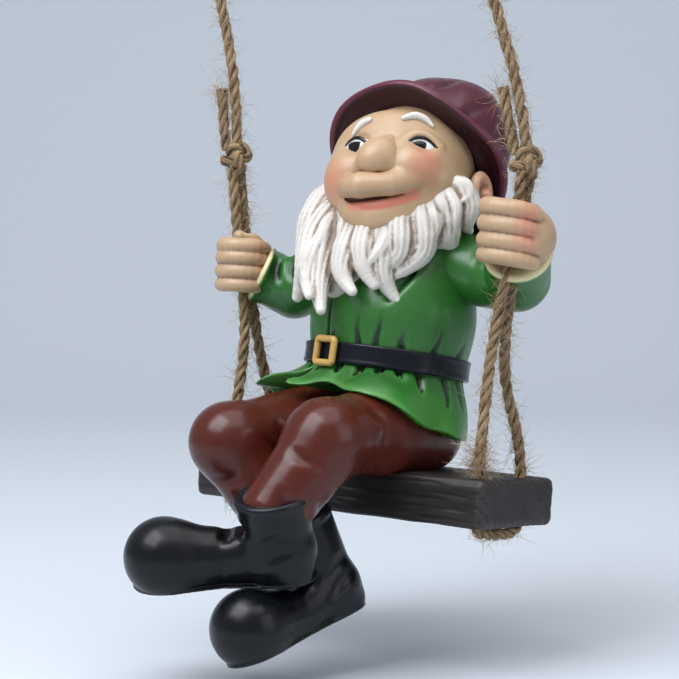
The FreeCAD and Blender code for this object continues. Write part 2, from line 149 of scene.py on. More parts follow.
def new_material(name, settings):
    """A material with one shader, and the tree to hang patterns on."""
    material = bpy.data.materials.new(name)
    material.use_nodes = True
    tree = material.node_tree
    shader = tree.nodes["Principled BSDF"]
    for socket, value in settings.items():
        shader.inputs[socket].default_value = value
    return material, tree, shader


# %% Floor and backdrop
FLOOR_DROP = 0.012
floor_height = cad_box[0][2] - FLOOR_DROP
backdrop = bpy.data.meshes.new("backdrop")
sweep = [(-1.6, 0.0)] + [
    (1.0 + 0.6 * math.sin(a), 0.6 - 0.6 * math.cos(a)) for a in np.linspace(0, math.pi / 2, 12)
] + [(1.6, 2.4)]
verts = [(x, y, floor_height + z) for y, z in sweep for x in (-3.0, 3.0)]
faces = [(2 * i, 2 * i + 1, 2 * i + 3, 2 * i + 2) for i in range(len(sweep) - 1)]
backdrop.from_pydata(verts, [], faces)
backdrop.shade_smooth()
stage = bpy.data.objects.new("backdrop", backdrop)
stage.matrix_world = Matrix.Rotation(CAMERA_TURN, 4, "Z")
bpy.context.scene.collection.objects.link(stage)
paper, paper_tree, paper_shader = new_material("pale paper", {
    "Base Color": srgb("#cdd3da"), "Roughness": 0.85,
})
# From behind or from below, the sheet lets the eye through, so every side can be looked at.
side_seen = add_node(paper_tree, "ShaderNodeNewGeometry")
see_through = add_node(paper_tree, "ShaderNodeBsdfTransparent")
one_sided = add_node(paper_tree, "ShaderNodeMixShader", None, {
    "Fac": side_seen.outputs["Backfacing"], 1: paper_shader.outputs["BSDF"], 2: see_through.outputs["BSDF"],
})
paper_tree.links.new(one_sided.outputs["Shader"], paper_tree.nodes["Material Output"].inputs["Surface"])
backdrop.materials.append(paper)

# %% Lights
def soft_light(name, turn, lift, distance, size, watts, tint):
    lamp = bpy.data.lights.new(name, "AREA")
    lamp.size, lamp.energy, lamp.color = size, watts, srgb(tint)[:3]
    holder = bpy.data.objects.new(name, lamp)
    way = Vector((
        math.sin(turn) * math.cos(lift), -math.cos(turn) * math.cos(lift), math.sin(lift),
    ))
    holder.location = AIM + way * distance
    holder.rotation_euler = (-way).to_track_quat("-Z", "Y").to_euler()
    bpy.context.scene.collection.objects.link(holder)


soft_light("window", CAMERA_TURN - 0.9, 0.9, 1.3, 0.9, 17.0, "#f4f7ff")
soft_light("ceiling", CAMERA_TURN + 0.3, 1.35, 1.4, 1.4, 12.0, "#ffffff")
soft_light("fill", CAMERA_TURN + 1.0, 0.35, 1.5, 1.0, 4.5, "#eef2ff")
world = bpy.data.worlds.new("room")
world.use_nodes = True
world.node_tree.nodes["Background"].inputs["Color"].default_value = srgb("#dfe4ea")
world.node_tree.nodes["Background"].inputs["Strength"].default_value = 0.48
bpy.context.scene.world = world
bpy.context.scene.view_settings.view_transform = "Standard"

# %% [markdown]
# ## Jute rope
# Jute is spun loosely into yarns and three strands of it are laid together with a slow twist.
# A curve holds the rope's line, with the same points as the design. Three wandering strands are
# then swept around that line, and loose fibres stand off them, because a smooth tube never
# reads as jute.

# %% Routes of the ropes
ROPE = 6.0
PAIR = 3.25
KNOT_OUT, KNOT_BACK, KNOT_UP = 95.6, -15.0, 161.0
HOLE_OUT, HOLE_BACK, UNDER = 82.0, 20.0, 29.7
GRIP_BACK = -12.6
GRIPS = {"left": (91.2, 124.0), "right": (87.4, 102.0)}
LEANS = {"left": -26.0, "right": -12.5}
SIDES = {"left": 1.0, "right": -1.0}
joints = frame["joints"]


def side_route(side, *points):
    """Points on the gnome's left are given; the right side has X the other way."""
    return [on_seat(SIDES[side] * x, y, z) for x, y, z in points]


def seat_rope_route(side):
    """Knot, fist, front hole, under the plank, rear hole, fist, knot."""
    grip_out, grip_up = GRIPS[side]
    down = side_route(
        side,
        (KNOT_OUT, KNOT_BACK - PAIR, KNOT_UP - 4),
        (grip_out, GRIP_BACK - PAIR, grip_up),
        (80.5, -11.0 - PAIR, 62),
        (HOLE_OUT, -HOLE_BACK, 16),
        (HOLE_OUT, -HOLE_BACK + 0.4, -8),
        (HOLE_OUT, -HOLE_BACK, -20),
        (HOLE_OUT, -HOLE_BACK + 1.0, -UNDER + 2.8),
        (HOLE_OUT, -HOLE_BACK + 5.5, -UNDER),
        (HOLE_OUT, -5, -UNDER - 0.3),
    )
    up = side_route(
        side,
        (HOLE_OUT, 5, -UNDER - 0.3),
        (HOLE_OUT, HOLE_BACK - 5.5, -UNDER),
        (HOLE_OUT, HOLE_BACK - 1.0, -UNDER + 2.8),
        (HOLE_OUT, HOLE_BACK, -20),
        (HOLE_OUT, HOLE_BACK - 0.4, -8),
        (HOLE_OUT, HOLE_BACK - 2.0, 15),
        (80.5, -9.0 + PAIR, 60),
        (grip_out, GRIP_BACK + PAIR, grip_up),
        (KNOT_OUT, KNOT_BACK + PAIR, KNOT_UP - 4),
    )
    return down + up


def upper_routes(side):
    """The hang line, the cut tail and the hang loop, by name, from the two knots."""
    joint_at = {joint["name"]: Vector(joint["pos_m"]) for joint in joints}
    foot = joint_at["rock"] + Vector((SIDES[side] * KNOT_OUT * MM, 0, 0))
    head = joint_at["swing"] + Vector((SIDES[side] * KNOT_OUT + LEANS[side], 0, 0)) * MM
    head.y = foot.y = 0.0
    head.x = (SIDES[side] * KNOT_OUT + LEANS[side]) * MM

    def off(base, share, x, y, z):
        return base + (head - foot) * share + Vector((x, y, z)) * MM

    aside = ROPE + 0.4
    return {
        "hang_line": [
            off(foot, 0, 0.5, 0, 3), off(foot, 0.34, 4.5, 0.6, 0),
            off(foot, 0.68, 2.25, 0.3, 0), off(head, 0, 0, 0, -3),
        ],
        "rope_tail": [
            off(foot, 0, -aside * 0.9, -1.5, 4), off(foot, 0.2, 2.2 - aside, -2.6, 0),
            off(foot, 0.38, 3.4 - aside * 1.1, -1.6, 0),
        ],
        "hang_loop": [
            off(head, 0, 0, y, z) for y, z in (
                (-2.5, 4), (-13, 15), (-13, 30), (-5.85, 37), (5.85, 37), (13, 30), (13, 15), (2.5, 4),
            )
        ],
    }


# %% Follow a route smoothly
def smooth_line(name, points):
    """The points of the smooth curve that a route's control points give."""
    curve = bpy.data.curves.new(name, "CURVE")
    curve.dimensions = "3D"
    spline = curve.splines.new("NURBS")
    spline.points.add(len(points) - 1)
    for knot, point in zip(spline.points, points):
        knot.co = (*point, 1.0)
    spline.order_u = 3
    spline.use_endpoint_u = True
    spline.resolution_u = 24
    holder = bpy.data.objects.new(name, curve)
    mesh = bpy.data.meshes.new_from_object(holder)
    line = np.array([v.co for v in mesh.vertices])
    bpy.data.objects.remove(holder)
    bpy.data.meshes.remove(mesh)
    return line


def even_steps(line, step):
    """The same line with points a constant step apart, and its length."""
    along = np.concatenate([[0], np.cumsum(np.linalg.norm(np.diff(line, axis=0), axis=1))])
    count = max(3, int(round(along[-1] / step)) + 1)
    stations = np.linspace(0, along[-1], count)
    return np.stack([np.interp(stations, along, line[:, i]) for i in range(3)], 1), stations


def carried_frames(line):
    """Two directions across the line at each point, carried along it without twist."""
    ahead = np.gradient(line, axis=0)
    ahead /= np.linalg.norm(ahead, axis=1)[:, None]
    side = np.cross(ahead[0], [0.31, 0.87, 0.38])
    sides = []
    for way in ahead:
        side = unit(side - way * np.dot(side, way))
        sides.append(side)
    sides = np.array(sides)
    return ahead, sides, np.cross(ahead, sides)


def wander(stations, wavelength, seed):
    """A smooth random number from -1 to 1 along a rope."""
    rng = np.random.default_rng(seed)
    phases = rng.uniform(0, 2 * math.pi, 3)
    waves = [np.sin(stations * 2 * math.pi / wavelength / k + p) for k, p in zip((1, 0.61, 0.37), phases)]
    return (waves[0] + 0.6 * waves[1] + 0.4 * waves[2]) / 2.0


# %% Lay three strands into a rope
STRAND_SIDES = 12
LAY_LENGTH = 23.0 * MM


def strands_mesh(name, line, seed):
    """Three twisted strands round a line, as one mesh with the depth of each point in the lay, which darkens
    the gaps between strands as painted shade.
    """
    line, stations = even_steps(line, 0.9 * MM)
    ahead, side_a, side_b = carried_frames(line)
    verts, faces, depth, lay = [], [], [], []
    around = np.arange(STRAND_SIDES) * 2 * math.pi / STRAND_SIDES
    for strand in range(3):
        turn = stations * 2 * math.pi / LAY_LENGTH + strand * 2 * math.pi / 3
        turn = turn + 0.35 * wander(stations, 60 * MM, seed + strand)
        reach = (1.42 + 0.28 * wander(stations, 34 * MM, seed + 10 + strand)) * MM
        out = side_a * np.cos(turn)[:, None] + side_b * np.sin(turn)[:, None]
        core = line + out * reach[:, None]
        across = np.cross(ahead, out)
        thick = (1.62 + 0.16 * wander(stations, 21 * MM, seed + 20 + strand)) * MM
        yarn = 0.10 * MM * np.sin(3 * around[None, :] + stations[:, None] * 2 * math.pi / (7 * MM))
        radius = thick[:, None] + yarn
        ring = (
            core[:, None, :]
            + out[:, None, :] * (radius * np.cos(around))[:, :, None]
            + across[:, None, :] * (radius * np.sin(around))[:, :, None]
        )
        start = len(verts)
        verts.extend(ring.reshape(-1, 3))
        depth.extend((np.linalg.norm(ring - line[:, None, :], axis=2) / (ROPE / 2 * MM)).ravel())
        spun = around[None, :] + stations[:, None] * 2 * math.pi / (46 * MM)
        onward = np.repeat(stations[:, None] / (16 * MM), STRAND_SIDES, 1)
        lay.extend(np.stack([np.cos(spun) + 5 * strand, np.sin(spun), onward], -1).reshape(-1, 3))
        rings = len(line)
        for r in range(rings - 1):
            for s in range(STRAND_SIDES):
                a, b = start + r * STRAND_SIDES + s, start + r * STRAND_SIDES + (s + 1) % STRAND_SIDES
                faces.append((a, b, b + STRAND_SIDES, a + STRAND_SIDES))
        last = start + (rings - 1) * STRAND_SIDES
        faces.append([start + s for s in reversed(range(STRAND_SIDES))])
        faces.append([last + s for s in range(STRAND_SIDES)])
    mesh = bpy.data.meshes.new(name)
    mesh.from_pydata([tuple(v) for v in verts], [], faces)
    mesh.shade_smooth()
    mesh.attributes.new("depth", "FLOAT", "POINT").data.foreach_set("value", depth)
    mesh.attributes.new("lay", "FLOAT_VECTOR", "POINT").data.foreach_set("vector", np.array(lay).ravel())
    return mesh


# %% Loose fibres
FIBRE_RADIUS = 0.125 * MM


def fibres_mesh(name, line, count, longest, seed, clusters=()):
    """Stray fibres: most hug the line, some stand off it. A cluster is where the rope has frayed."""
    rng = np.random.default_rng(seed)
    line = even_steps(line, 0.9 * MM)[0]
    ahead, side_a, side_b = carried_frames(line)
    spots = list(rng.integers(1, len(line) - 1, count))
    for centre, extra in clusters:
        nearest = int(np.argmin(np.linalg.norm(line - np.array(centre), axis=1)))
        spots += list(np.clip(rng.normal(nearest, 5, extra).astype(int), 1, len(line) - 2))
    verts, faces = [], []
    for index, spot in enumerate(spots):
        frayed = index >= count
        hugging = not frayed and rng.uniform() < 0.62
        turn = rng.uniform(0, 2 * math.pi)
        out = side_a[spot] * math.cos(turn) + side_b[spot] * math.sin(turn)
        around = np.cross(ahead[spot], out)
        if hugging:
            way = ahead[spot] * rng.choice([-1, 1]) + out * rng.uniform(0.05, 0.35)
            way = way + around * rng.normal(0.3, 0.35)
        else:
            way = out * rng.uniform(0.35, 1.0) + ahead[spot] * rng.normal(0, 0.9)
            way = way + around * rng.normal(0, 0.5)
        way = unit(way)
        length = longest * (0.3 + 0.7 * rng.beta(1.2, 2.4)) * (1.25 if frayed else 1.0)
        bend = rng.normal(0, 0.42, 3) - out * (0.28 if hugging else 0.0)
        point = line[spot] + out * ROPE * 0.42 * MM
        pieces = 6
        start = len(verts)
        for k in range(pieces + 1):
            thick = FIBRE_RADIUS * (1.0 - 0.6 * k / pieces)
            a = unit(np.cross(way, [0.4, 0.5, 0.77]))
            b = np.cross(way, a)
            for corner in range(3):
                angle = corner * 2 * math.pi / 3
                verts.append(tuple(point + (a * math.cos(angle) + b * math.sin(angle)) * thick))
            point = point + way * length / pieces
            way = unit(way + bend * 0.5)
        for k in range(pieces):
            for corner in range(3):
                a, b = start + 3 * k + corner, start + 3 * k + (corner + 1) % 3
                faces.append((a, b, b + 3, a + 3))
        faces.append((start + 2, start + 1, start))
        faces.append((start + 3 * pieces, start + 3 * pieces + 1, start + 3 * pieces + 2))
    mesh = bpy.data.meshes.new(name)
    mesh.from_pydata(verts, [], faces)
    mesh.shade_smooth()
    return mesh


# %% Jute as a material
def make_jute():
    material, tree, shader = new_material("jute", {"Roughness": 0.92, "Specular IOR Level": 0.2})
    place = add_node(tree, "ShaderNodeTexCoord")
    lay = add_node(tree, "ShaderNodeAttribute", {"attribute_name": "lay"})
    fibre = add_node(tree, "ShaderNodeTexNoise", {"Scale": 5.5, "Detail": 3.0},
                     {"Vector": lay.outputs["Vector"]})
    patch = add_node(tree, "ShaderNodeTexNoise", {"Scale": 1 / (14 * MM), "Detail": 2.0},
                     {"Vector": place.outputs["Object"]})
    tone = add_node(tree, "ShaderNodeValToRGB", {}, {"Fac": fibre.outputs["Fac"]})
    tone.color_ramp.elements[0].position, tone.color_ramp.elements[0].color = 0.3, srgb("#75604a")
    tone.color_ramp.elements[1].position, tone.color_ramp.elements[1].color = 0.72, srgb("#c0a988")
    warm = add_node(tree, "ShaderNodeMix", {"data_type": "RGBA", "blend_type": "MULTIPLY", "Factor": 0.5})
    tree.links.new(tone.outputs["Color"], warm.inputs["A"])
    shade = add_node(tree, "ShaderNodeValToRGB", {}, {"Fac": patch.outputs["Fac"]})
    shade.color_ramp.elements[0].position, shade.color_ramp.elements[0].color = 0.35, srgb("#a08a72")
    shade.color_ramp.elements[1].position, shade.color_ramp.elements[1].color = 0.65, srgb("#fff6e8")
    tree.links.new(shade.outputs["Color"], warm.inputs["B"])
    # Painted shade: the deeper a point lies in the lay, between the strands, the darker the jute, down to
    # about a third.
    depth = add_node(tree, "ShaderNodeAttribute", {"attribute_name": "depth"})
    strand_gap_shade = add_node(tree, "ShaderNodeMapRange",
                      {"From Min": 0.55, "From Max": 0.95, "To Min": 0.35, "To Max": 1.0},
                      {"Value": depth.outputs["Fac"]})
    dark = add_node(tree, "ShaderNodeMix", {"data_type": "RGBA", "blend_type": "MULTIPLY", "Factor": 1.0})
    tree.links.new(warm.outputs["Result"], dark.inputs["A"])
    tree.links.new(strand_gap_shade.outputs["Result"], dark.inputs["B"])
    tree.links.new(dark.outputs["Result"], shader.inputs["Base Color"])
    bump = add_node(tree, "ShaderNodeBump", {"Strength": 0.6, "Distance": 0.5 * MM},
                    {"Height": fibre.outputs["Fac"]})
    tree.links.new(bump.outputs["Normal"], shader.inputs["Normal"])
    return material


def make_fibre():
    material, tree, shader = new_material("loose jute fibre", {"Roughness": 0.9, "Specular IOR Level": 0.2})
    place = add_node(tree, "ShaderNodeTexCoord")
    patch = add_node(tree, "ShaderNodeTexNoise", {"Scale": 1 / (3 * MM), "Detail": 1.0},
                     {"Vector": place.outputs["Object"]})
    tone = add_node(tree, "ShaderNodeValToRGB", {}, {"Fac": patch.outputs["Fac"]})
    tone.color_ramp.elements[0].position, tone.color_ramp.elements[0].color = 0.35, srgb("#8d7558")
    tone.color_ramp.elements[1].position, tone.color_ramp.elements[1].color = 0.65, srgb("#cbb796")
    tree.links.new(tone.outputs["Color"], shader.inputs["Base Color"])
    return material


JUTE, FIBRE = make_jute(), make_fibre()


# %% Put a piece on the model
def add_piece(name, mesh, body, material, nodes=()):
    """A named piece that rides on a body, stands for its design solids and has a finish."""
    mesh.name = name
    piece = bpy.data.objects.new(name, mesh)
    bpy.context.scene.collection.objects.link(piece)
    mesh.materials.append(material)
    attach(piece, body)
    if nodes:
        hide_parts(*nodes)
    return piece


# %% Knots
def knot_line(centre, radius, tilt):
    """The line of an overhand knot, pulled into a ball of this radius."""
    t = np.linspace(0, 2 * math.pi, 90)
    size = (radius - 2.7) / 3.0 * MM
    loop = np.stack([
        np.sin(t) + 2 * np.sin(2 * t), np.cos(t) - 2 * np.cos(2 * t), -1.9 * np.sin(3 * t),
    ], 1) * size
    turn = np.array(Matrix.Rotation(tilt, 3, "X") @ Matrix.Rotation(0.7, 3, "Z"))
    return loop @ turn.T + np.array(centre)


# %% Make the ropes of both sides
rope_seed = 100
for side in SIDES:
    sign = SIDES[side]
    upper = upper_routes(side)
    routes = {"seat_rope": seat_rope_route(side), **upper}
    seat_knot_at = Vector(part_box(side + "_seat_knot")[0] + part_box(side + "_seat_knot")[1]) / 2
    loop_knot_at = Vector(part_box(side + "_loop_knot")[0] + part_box(side + "_loop_knot")[1]) / 2
    for knot, at, radius, body in (("seat_knot", seat_knot_at, 9.3, "seat"),
                                   ("loop_knot", loop_knot_at, 8.6, "loops")):
        rope_seed += 50
        line = knot_line(at, radius, 1.2 if knot == "seat_knot" else 0.9)
        mesh = strands_mesh(side + knot, line, rope_seed)
        add_piece("%s_%s_jute" % (side, knot), mesh, body, JUTE, [side + "_" + knot])
        fuzz = fibres_mesh(side + knot, line, 120, 13 * MM, rope_seed + 1)
        add_piece("%s_%s_fibres" % (side, knot), fuzz, body, FIBRE, ())
    frays = {
        "seat_rope": [(on_seat(sign * HOLE_OUT, -HOLE_BACK, 6), 260),
                      (on_seat(sign * HOLE_OUT, HOLE_BACK, 4), 50)],
        "rope_tail": [(upper["rope_tail"][-1], 70)],
    }
    plans = {
        "seat_rope": ("seat", "knot", 1500, ["seat_knot", "seat_knot_fuzz"]),
        "hang_line": ("lines", "knot", 330, []),
        "rope_tail": ("lines", "bare", 110, []),
        "hang_loop": ("loops", "knot", 150, ["loop_knot", "loop_knot_fuzz"]),
    }
    for part, (body, far_end, hairs, knot_names) in plans.items():
        rope_seed += 50
        name = "%s_%s" % (side, part)
        line = smooth_line(name, routes[part])
        rope = add_piece(name + "_jute", strands_mesh(name, line, rope_seed), body, JUTE, [name])
        fuzz = fibres_mesh(name, line, hairs, 17 * MM, rope_seed + 7, frays.get(part, ()))
        fibres = add_piece(name + "_fibres", fuzz, body, FIBRE, ())
        length = float(np.linalg.norm(np.diff(line, axis=0), axis=1).sum())
        path = even_steps(line, 3 * MM)[0]
        if part == "rope_tail":
            continue
        if part == "hang_line":
            hang = (rope, path, length, fibres)
            continue
        print("%s is %.0f mm long" % (name, length / MM))
    rope, path, length, fibres = hang
    print("%s_hang_line is %.0f mm long" % (side, length / MM))

# %% [markdown]
# ## Modelling clay
# The figure was sculpted before it was cast, so it is sculpted here too. Clay lies on a grid: each
# grid point keeps how far it is from the surface, and is under zero inside. Balls, rods and locks
# of hair are blended on, creases are cut in, and the zero level becomes the skin. Paint gathers
# in the creases of a real casting, so each point of the skin also keeps how sunken it is.

# %% Clay on a grid
class Clay:
    def __init__(self, low, high, grain):
        self.low, self.grain = np.array(low, float), grain
        counts = np.ceil((np.array(high) - self.low) / grain).astype(int) + 1
        self.field = np.full(counts, 6.0, np.float32)

    def window(self, low, high):
        """The grid points between two corners: where they are kept, and where they stand."""
        counts = self.field.shape
        first = np.clip(np.floor((np.array(low) - self.low) / self.grain).astype(int), 0, counts)
        last = np.clip(np.ceil((np.array(high) - self.low) / self.grain).astype(int) + 1, 0, counts)
        axes = [self.low[i] + self.grain * np.arange(first[i], last[i]) for i in range(3)]
        where = tuple(slice(a, b) for a, b in zip(first, last))
        return where, np.stack(np.meshgrid(*axes, indexing="ij"), -1).astype(np.float32)

    def everywhere(self):
        """The same for the whole grid."""
        return self.window(self.low, self.low + self.grain * np.array(self.field.shape))

    def blend(self, where, form, soft, cut=False):
        """Join a form to the clay, or cut it away, with a rounded seam of this softness."""
        old, sign = self.field[where], -1.0 if cut else 1.0
        seam = np.maximum(soft - np.abs(sign * old - form), 0)
        self.field[where] = sign * (np.minimum(sign * old, form) - seam * seam / (4 * soft))

    def rod(self, points, radii, soft=1.0, cut=False, flat=None, flutes=None):
        """A chain of tapered rods. Flat squashes it into a ribbon; flutes run ridges along it."""
        points, radii = np.array(points, float), np.array(radii, float)
        reach = radii.max() + soft + 2.5
        where, spots = self.window(points.min(0) - reach, points.max(0) + reach)
        if spots.size == 0:
            return
        form = np.full(spots.shape[:3], 1e3, np.float32)
        for a, b, ra, rb in zip(points, points[1:], radii, radii[1:]):
            way = b - a
            offset = spots - a.astype(np.float32)
            share = np.clip(offset @ way.astype(np.float32) / max(way @ way, 1e-9), 0, 1)
            offset -= share[..., None] * way.astype(np.float32)
            if flat is not None:
                direction, factor = np.array(flat[0], np.float32), flat[1]
                offset += (offset @ direction)[..., None] * direction * (1 / factor - 1)
            thick = ra + share * (rb - ra)
            if flutes is not None:
                front, hand, count, depth, start = flutes
                to_hand, to_front = [offset @ np.array(axis, np.float32) for axis in (hand, front)]
                ridge = np.abs(np.cos(np.arctan2(to_hand, to_front) * count / 2 + start))
                thick = thick - depth * np.minimum(1, thick / 3) * ridge
            np.minimum(form, np.sqrt((offset * offset).sum(-1)) - thick, out=form)
        self.blend(where, form, soft, cut)

    def ball(self, centre, radius, soft=1.0, cut=False):
        self.rod([centre, centre], [radius, radius], soft, cut)

    def bead(self, centre, radii, turn=None, soft=1.0, cut=False):
        """A stretched ball. Its own axes are the columns of turn."""
        reach = max(radii) + soft + 2.5
        where, spots = self.window(np.array(centre) - reach, np.array(centre) + reach)
        own_axes = np.eye(3) if turn is None else turn
        offset = (spots - np.array(centre, np.float32)) @ np.array(own_axes, np.float32)
        near = np.sqrt(((offset / np.array(radii, np.float32)) ** 2).sum(-1)) + 1e-6
        steep = np.sqrt(((offset / np.array(radii, np.float32) ** 2) ** 2).sum(-1)) + 1e-6
        self.blend(where, near * (near - 1) / steep, soft, cut)

    def tower(self, turn, levels):
        """A stack of ovals. Each level is its height, half width, half depth and middle."""
        levels = np.array(levels, float)
        everything, spots = self.everywhere()
        spots = spots @ np.array(turn, np.float32)
        fine = np.linspace(levels[0, 0], levels[-1, 0], 80)
        smooth = [np.convolve(np.pad(np.interp(fine, levels[:, 0], levels[:, i]), 6, "edge"),
                              np.ones(13) / 13, "valid") for i in (1, 2, 3)]
        wide, deep, middle = [np.interp(spots[..., 2], fine, row).astype(np.float32) for row in smooth]
        y = spots[..., 1] - middle
        near = np.sqrt((spots[..., 0] / wide) ** 2 + (y / deep) ** 2) + 1e-6
        wall = (near - 1) * np.minimum(wide, deep)
        ends = np.maximum(levels[0, 0] - spots[..., 2], spots[..., 2] - levels[-1, 0])
        self.blend(everything, np.maximum(wall, ends), 1.0)
        return spots, wall

    def skin(self, name, softness=1.6, accent=None, second=None):
        """The surface as a mesh on the hung seat, with how sunken and how painted each point is."""
        grid = openvdb.FloatGrid(3.0)
        shown = np.clip(self.field, -3, 3)
        for axis in range(3):
            for side in (0, -1):
                edge = [slice(None)] * 3
                edge[axis] = side
                shown[tuple(edge)] = np.maximum(shown[tuple(edge)], 0.4)
        for axis in range(3):
            shown = (np.roll(shown, 1, axis) + 2 * shown + np.roll(shown, -1, axis)) / 4
        grid.copyFromArray(shown)
        grid.transform = openvdb.createLinearTransform(voxelSize=self.grain)
        points, quads = grid.convertToQuads()
        spots = points + self.low
        rounds = max(1, int(round(1.5 * (softness / self.grain) ** 2)))
        blurred = shown
        for _ in range(rounds):
            for axis in range(3):
                blurred = (np.roll(blurred, 1, axis) + blurred + np.roll(blurred, -1, axis)) / 3
        index = np.clip(np.round(points / self.grain).astype(int), 0, np.array(self.field.shape) - 1)
        sunken = (shown[tuple(index.T)] - blurred[tuple(index.T)]) / softness
        mesh = bpy.data.meshes.new(name)
        placed = spots @ np.array(SEAT.to_3x3()).T * MM + np.array(SEAT.translation)
        mesh.vertices.add(len(placed))
        mesh.vertices.foreach_set("co", placed.ravel())
        mesh.loops.add(quads.size)
        mesh.loops.foreach_set("vertex_index", quads[:, ::-1].ravel())
        mesh.polygons.add(len(quads))
        mesh.polygons.foreach_set("loop_start", np.arange(0, quads.size, 4))
        mesh.update(calc_edges=True)
        mesh.validate()
        mesh.shade_smooth()
        rows = {"sunken": sunken}
        if accent:
            rows["accent"] = np.clip(accent(spots), 0, 1)
        if second:
            rows["second"] = np.clip(second(spots), 0, 1)
        for row, values in rows.items():
            mesh.attributes.new(row, "FLOAT", "POINT").data.foreach_set("value", values.astype(np.float32))
        print("%s: %d faces" % (name, len(quads)))
        return mesh


def near(spots, centre, radius, soft):
    """One near a point and nought away from it, with a soft edge."""
    away = np.linalg.norm(spots - np.array(centre), axis=1)
    return np.clip((radius - away) / soft + 0.5, 0, 1)


def turned(x=0.0, y=0.0, z=0.0):
    """A rotation matrix from degrees about X, then Y, then Z."""
    parts = [Matrix.Rotation(math.radians(a), 3, n) for a, n in ((z, "Z"), (y, "Y"), (x, "X"))]
    return np.array(parts[0] @ parts[1] @ parts[2])


def arc_points(points, count):
    """A smooth line through a few points."""
    points = np.array(points, float)
    knots = np.linspace(0, 1, len(points))
    at = np.linspace(0, 1, count)
    line = np.stack([np.interp(at, knots, points[:, i]) for i in range(points.shape[1])], 1)
    for _ in range(max(1, count // len(points))):
        line[1:-1] = (line[:-2] + 2 * line[1:-1] + line[2:]) / 4
    return line


def tapers(count, stations, values):
    """Radii for a rod of this many points, from a few values at shares of its length."""
    return np.interp(np.linspace(0, 1, count), stations, values)


# %% [markdown]
# ## Paint over cast resin
# A painter gives each part one coat, wipes a thin dark wash into the creases and lets handling
# wear the high spots pale. The skin's own rows steer all three, so paint and form agree.

# %% Paint
COLOUR_A, COLOUR_B, COLOUR_OUT = 6, 7, 2    # a mix node's colour sockets, which share their names
RAGGED = 0.10                               # how unevenly the wash ends


def make_paint(name, base, wash, accent="#ffffff", second="#ffffff", gloss=0.35, worn="#ffffff",
               wash_range=(0.02, 0.22), worn_range=(-0.08, -0.30), mottle=0.12, specular=0.5):
    """One coat, a thin dark wash left in the creases, lighter high spots, and two accent colours: brushed
    paint, and on the hat painted shade under the brim.
    """
    material, tree, shader = new_material(name, {"Roughness": gloss, "Specular IOR Level": specular})
    place = add_node(tree, "ShaderNodeTexCoord")
    cloud = add_node(tree, "ShaderNodeTexNoise", {"Scale": 1 / (9 * MM), "Detail": 5.0, "Roughness": 0.6},
                     {"Vector": place.outputs["Object"]})
    grain = add_node(tree, "ShaderNodeTexNoise", {"Scale": 1 / (1.6 * MM), "Detail": 3.0},
                     {"Vector": place.outputs["Object"]})

    def mixed(first, hex_code, factor):
        node = add_node(tree, "ShaderNodeMix", {"data_type": "RGBA"}, {0: factor})
        node.inputs[COLOUR_B].default_value = srgb(hex_code)
        if isinstance(first, str):
            node.inputs[COLOUR_A].default_value = srgb(first)
        else:
            tree.links.new(first, node.inputs[COLOUR_A])
        return node.outputs[COLOUR_OUT]

    def attribute(row, low, high, top=1.0):
        source = add_node(tree, "ShaderNodeAttribute", {"attribute_name": row})
        return add_node(tree, "ShaderNodeMapRange", {"From Min": low, "From Max": high, "To Max": top},
                        {"Value": source.outputs["Fac"]}).outputs["Result"]

    patch = add_node(tree, "ShaderNodeMapRange", {"From Min": 0.4, "From Max": 0.7, "To Max": mottle},
                     {"Value": cloud.outputs["Fac"]})
    colour = mixed(base, wash, patch.outputs["Result"])
    colour = mixed(colour, worn, attribute("sunken", worn_range[0], worn_range[1], 0.35))
    colour = mixed(colour, accent, attribute("accent", 0, 1))
    colour = mixed(colour, second, attribute("second", 0, 1))
    ragged = add_node(tree, "ShaderNodeMath", {"operation": "MULTIPLY_ADD"}, {0: grain.outputs["Fac"]})
    ragged.inputs[1].default_value = RAGGED
    source = add_node(tree, "ShaderNodeAttribute", {"attribute_name": "sunken"})
    tree.links.new(source.outputs["Fac"], ragged.inputs[2])
    first, full = [edge + RAGGED / 2 for edge in wash_range]
    depth = add_node(tree, "ShaderNodeMapRange", {"From Min": first, "From Max": full, "To Max": 0.92},
                     {"Value": ragged.outputs["Value"]})
    colour = mixed(colour, wash, depth.outputs["Result"])
    tree.links.new(colour, shader.inputs["Base Color"])
    shine = add_node(tree, "ShaderNodeMapRange",
                     {"From Min": 0.3, "From Max": 0.7, "To Min": gloss - 0.06, "To Max": gloss + 0.1},
                     {"Value": cloud.outputs["Fac"]})
    tree.links.new(shine.outputs["Result"], shader.inputs["Roughness"])
    bump = add_node(tree, "ShaderNodeBump", {"Strength": 0.25, "Distance": 0.12 * MM},
                    {"Height": grain.outputs["Fac"]})
    tree.links.new(bump.outputs["Normal"], shader.inputs["Normal"])
    return material


GREEN = make_paint("green paint", "#2a6526", "#0a1b0d", accent="#d9cfa0", second="#3f8f2c", gloss=0.3,
                   worn="#67a35c")
SKIN = make_paint("skin paint", "#b59775", "#4f3424", accent="#cf7a66", second="#a67f5e", gloss=0.38,
                  worn="#d3b896", wash_range=(0.06, 0.34))
WHITE = make_paint("white hair paint", "#d0cbc3", "#7b6856", gloss=0.5, worn="#e8e4dd",
                   wash_range=(-0.03, 0.16), mottle=0.08)
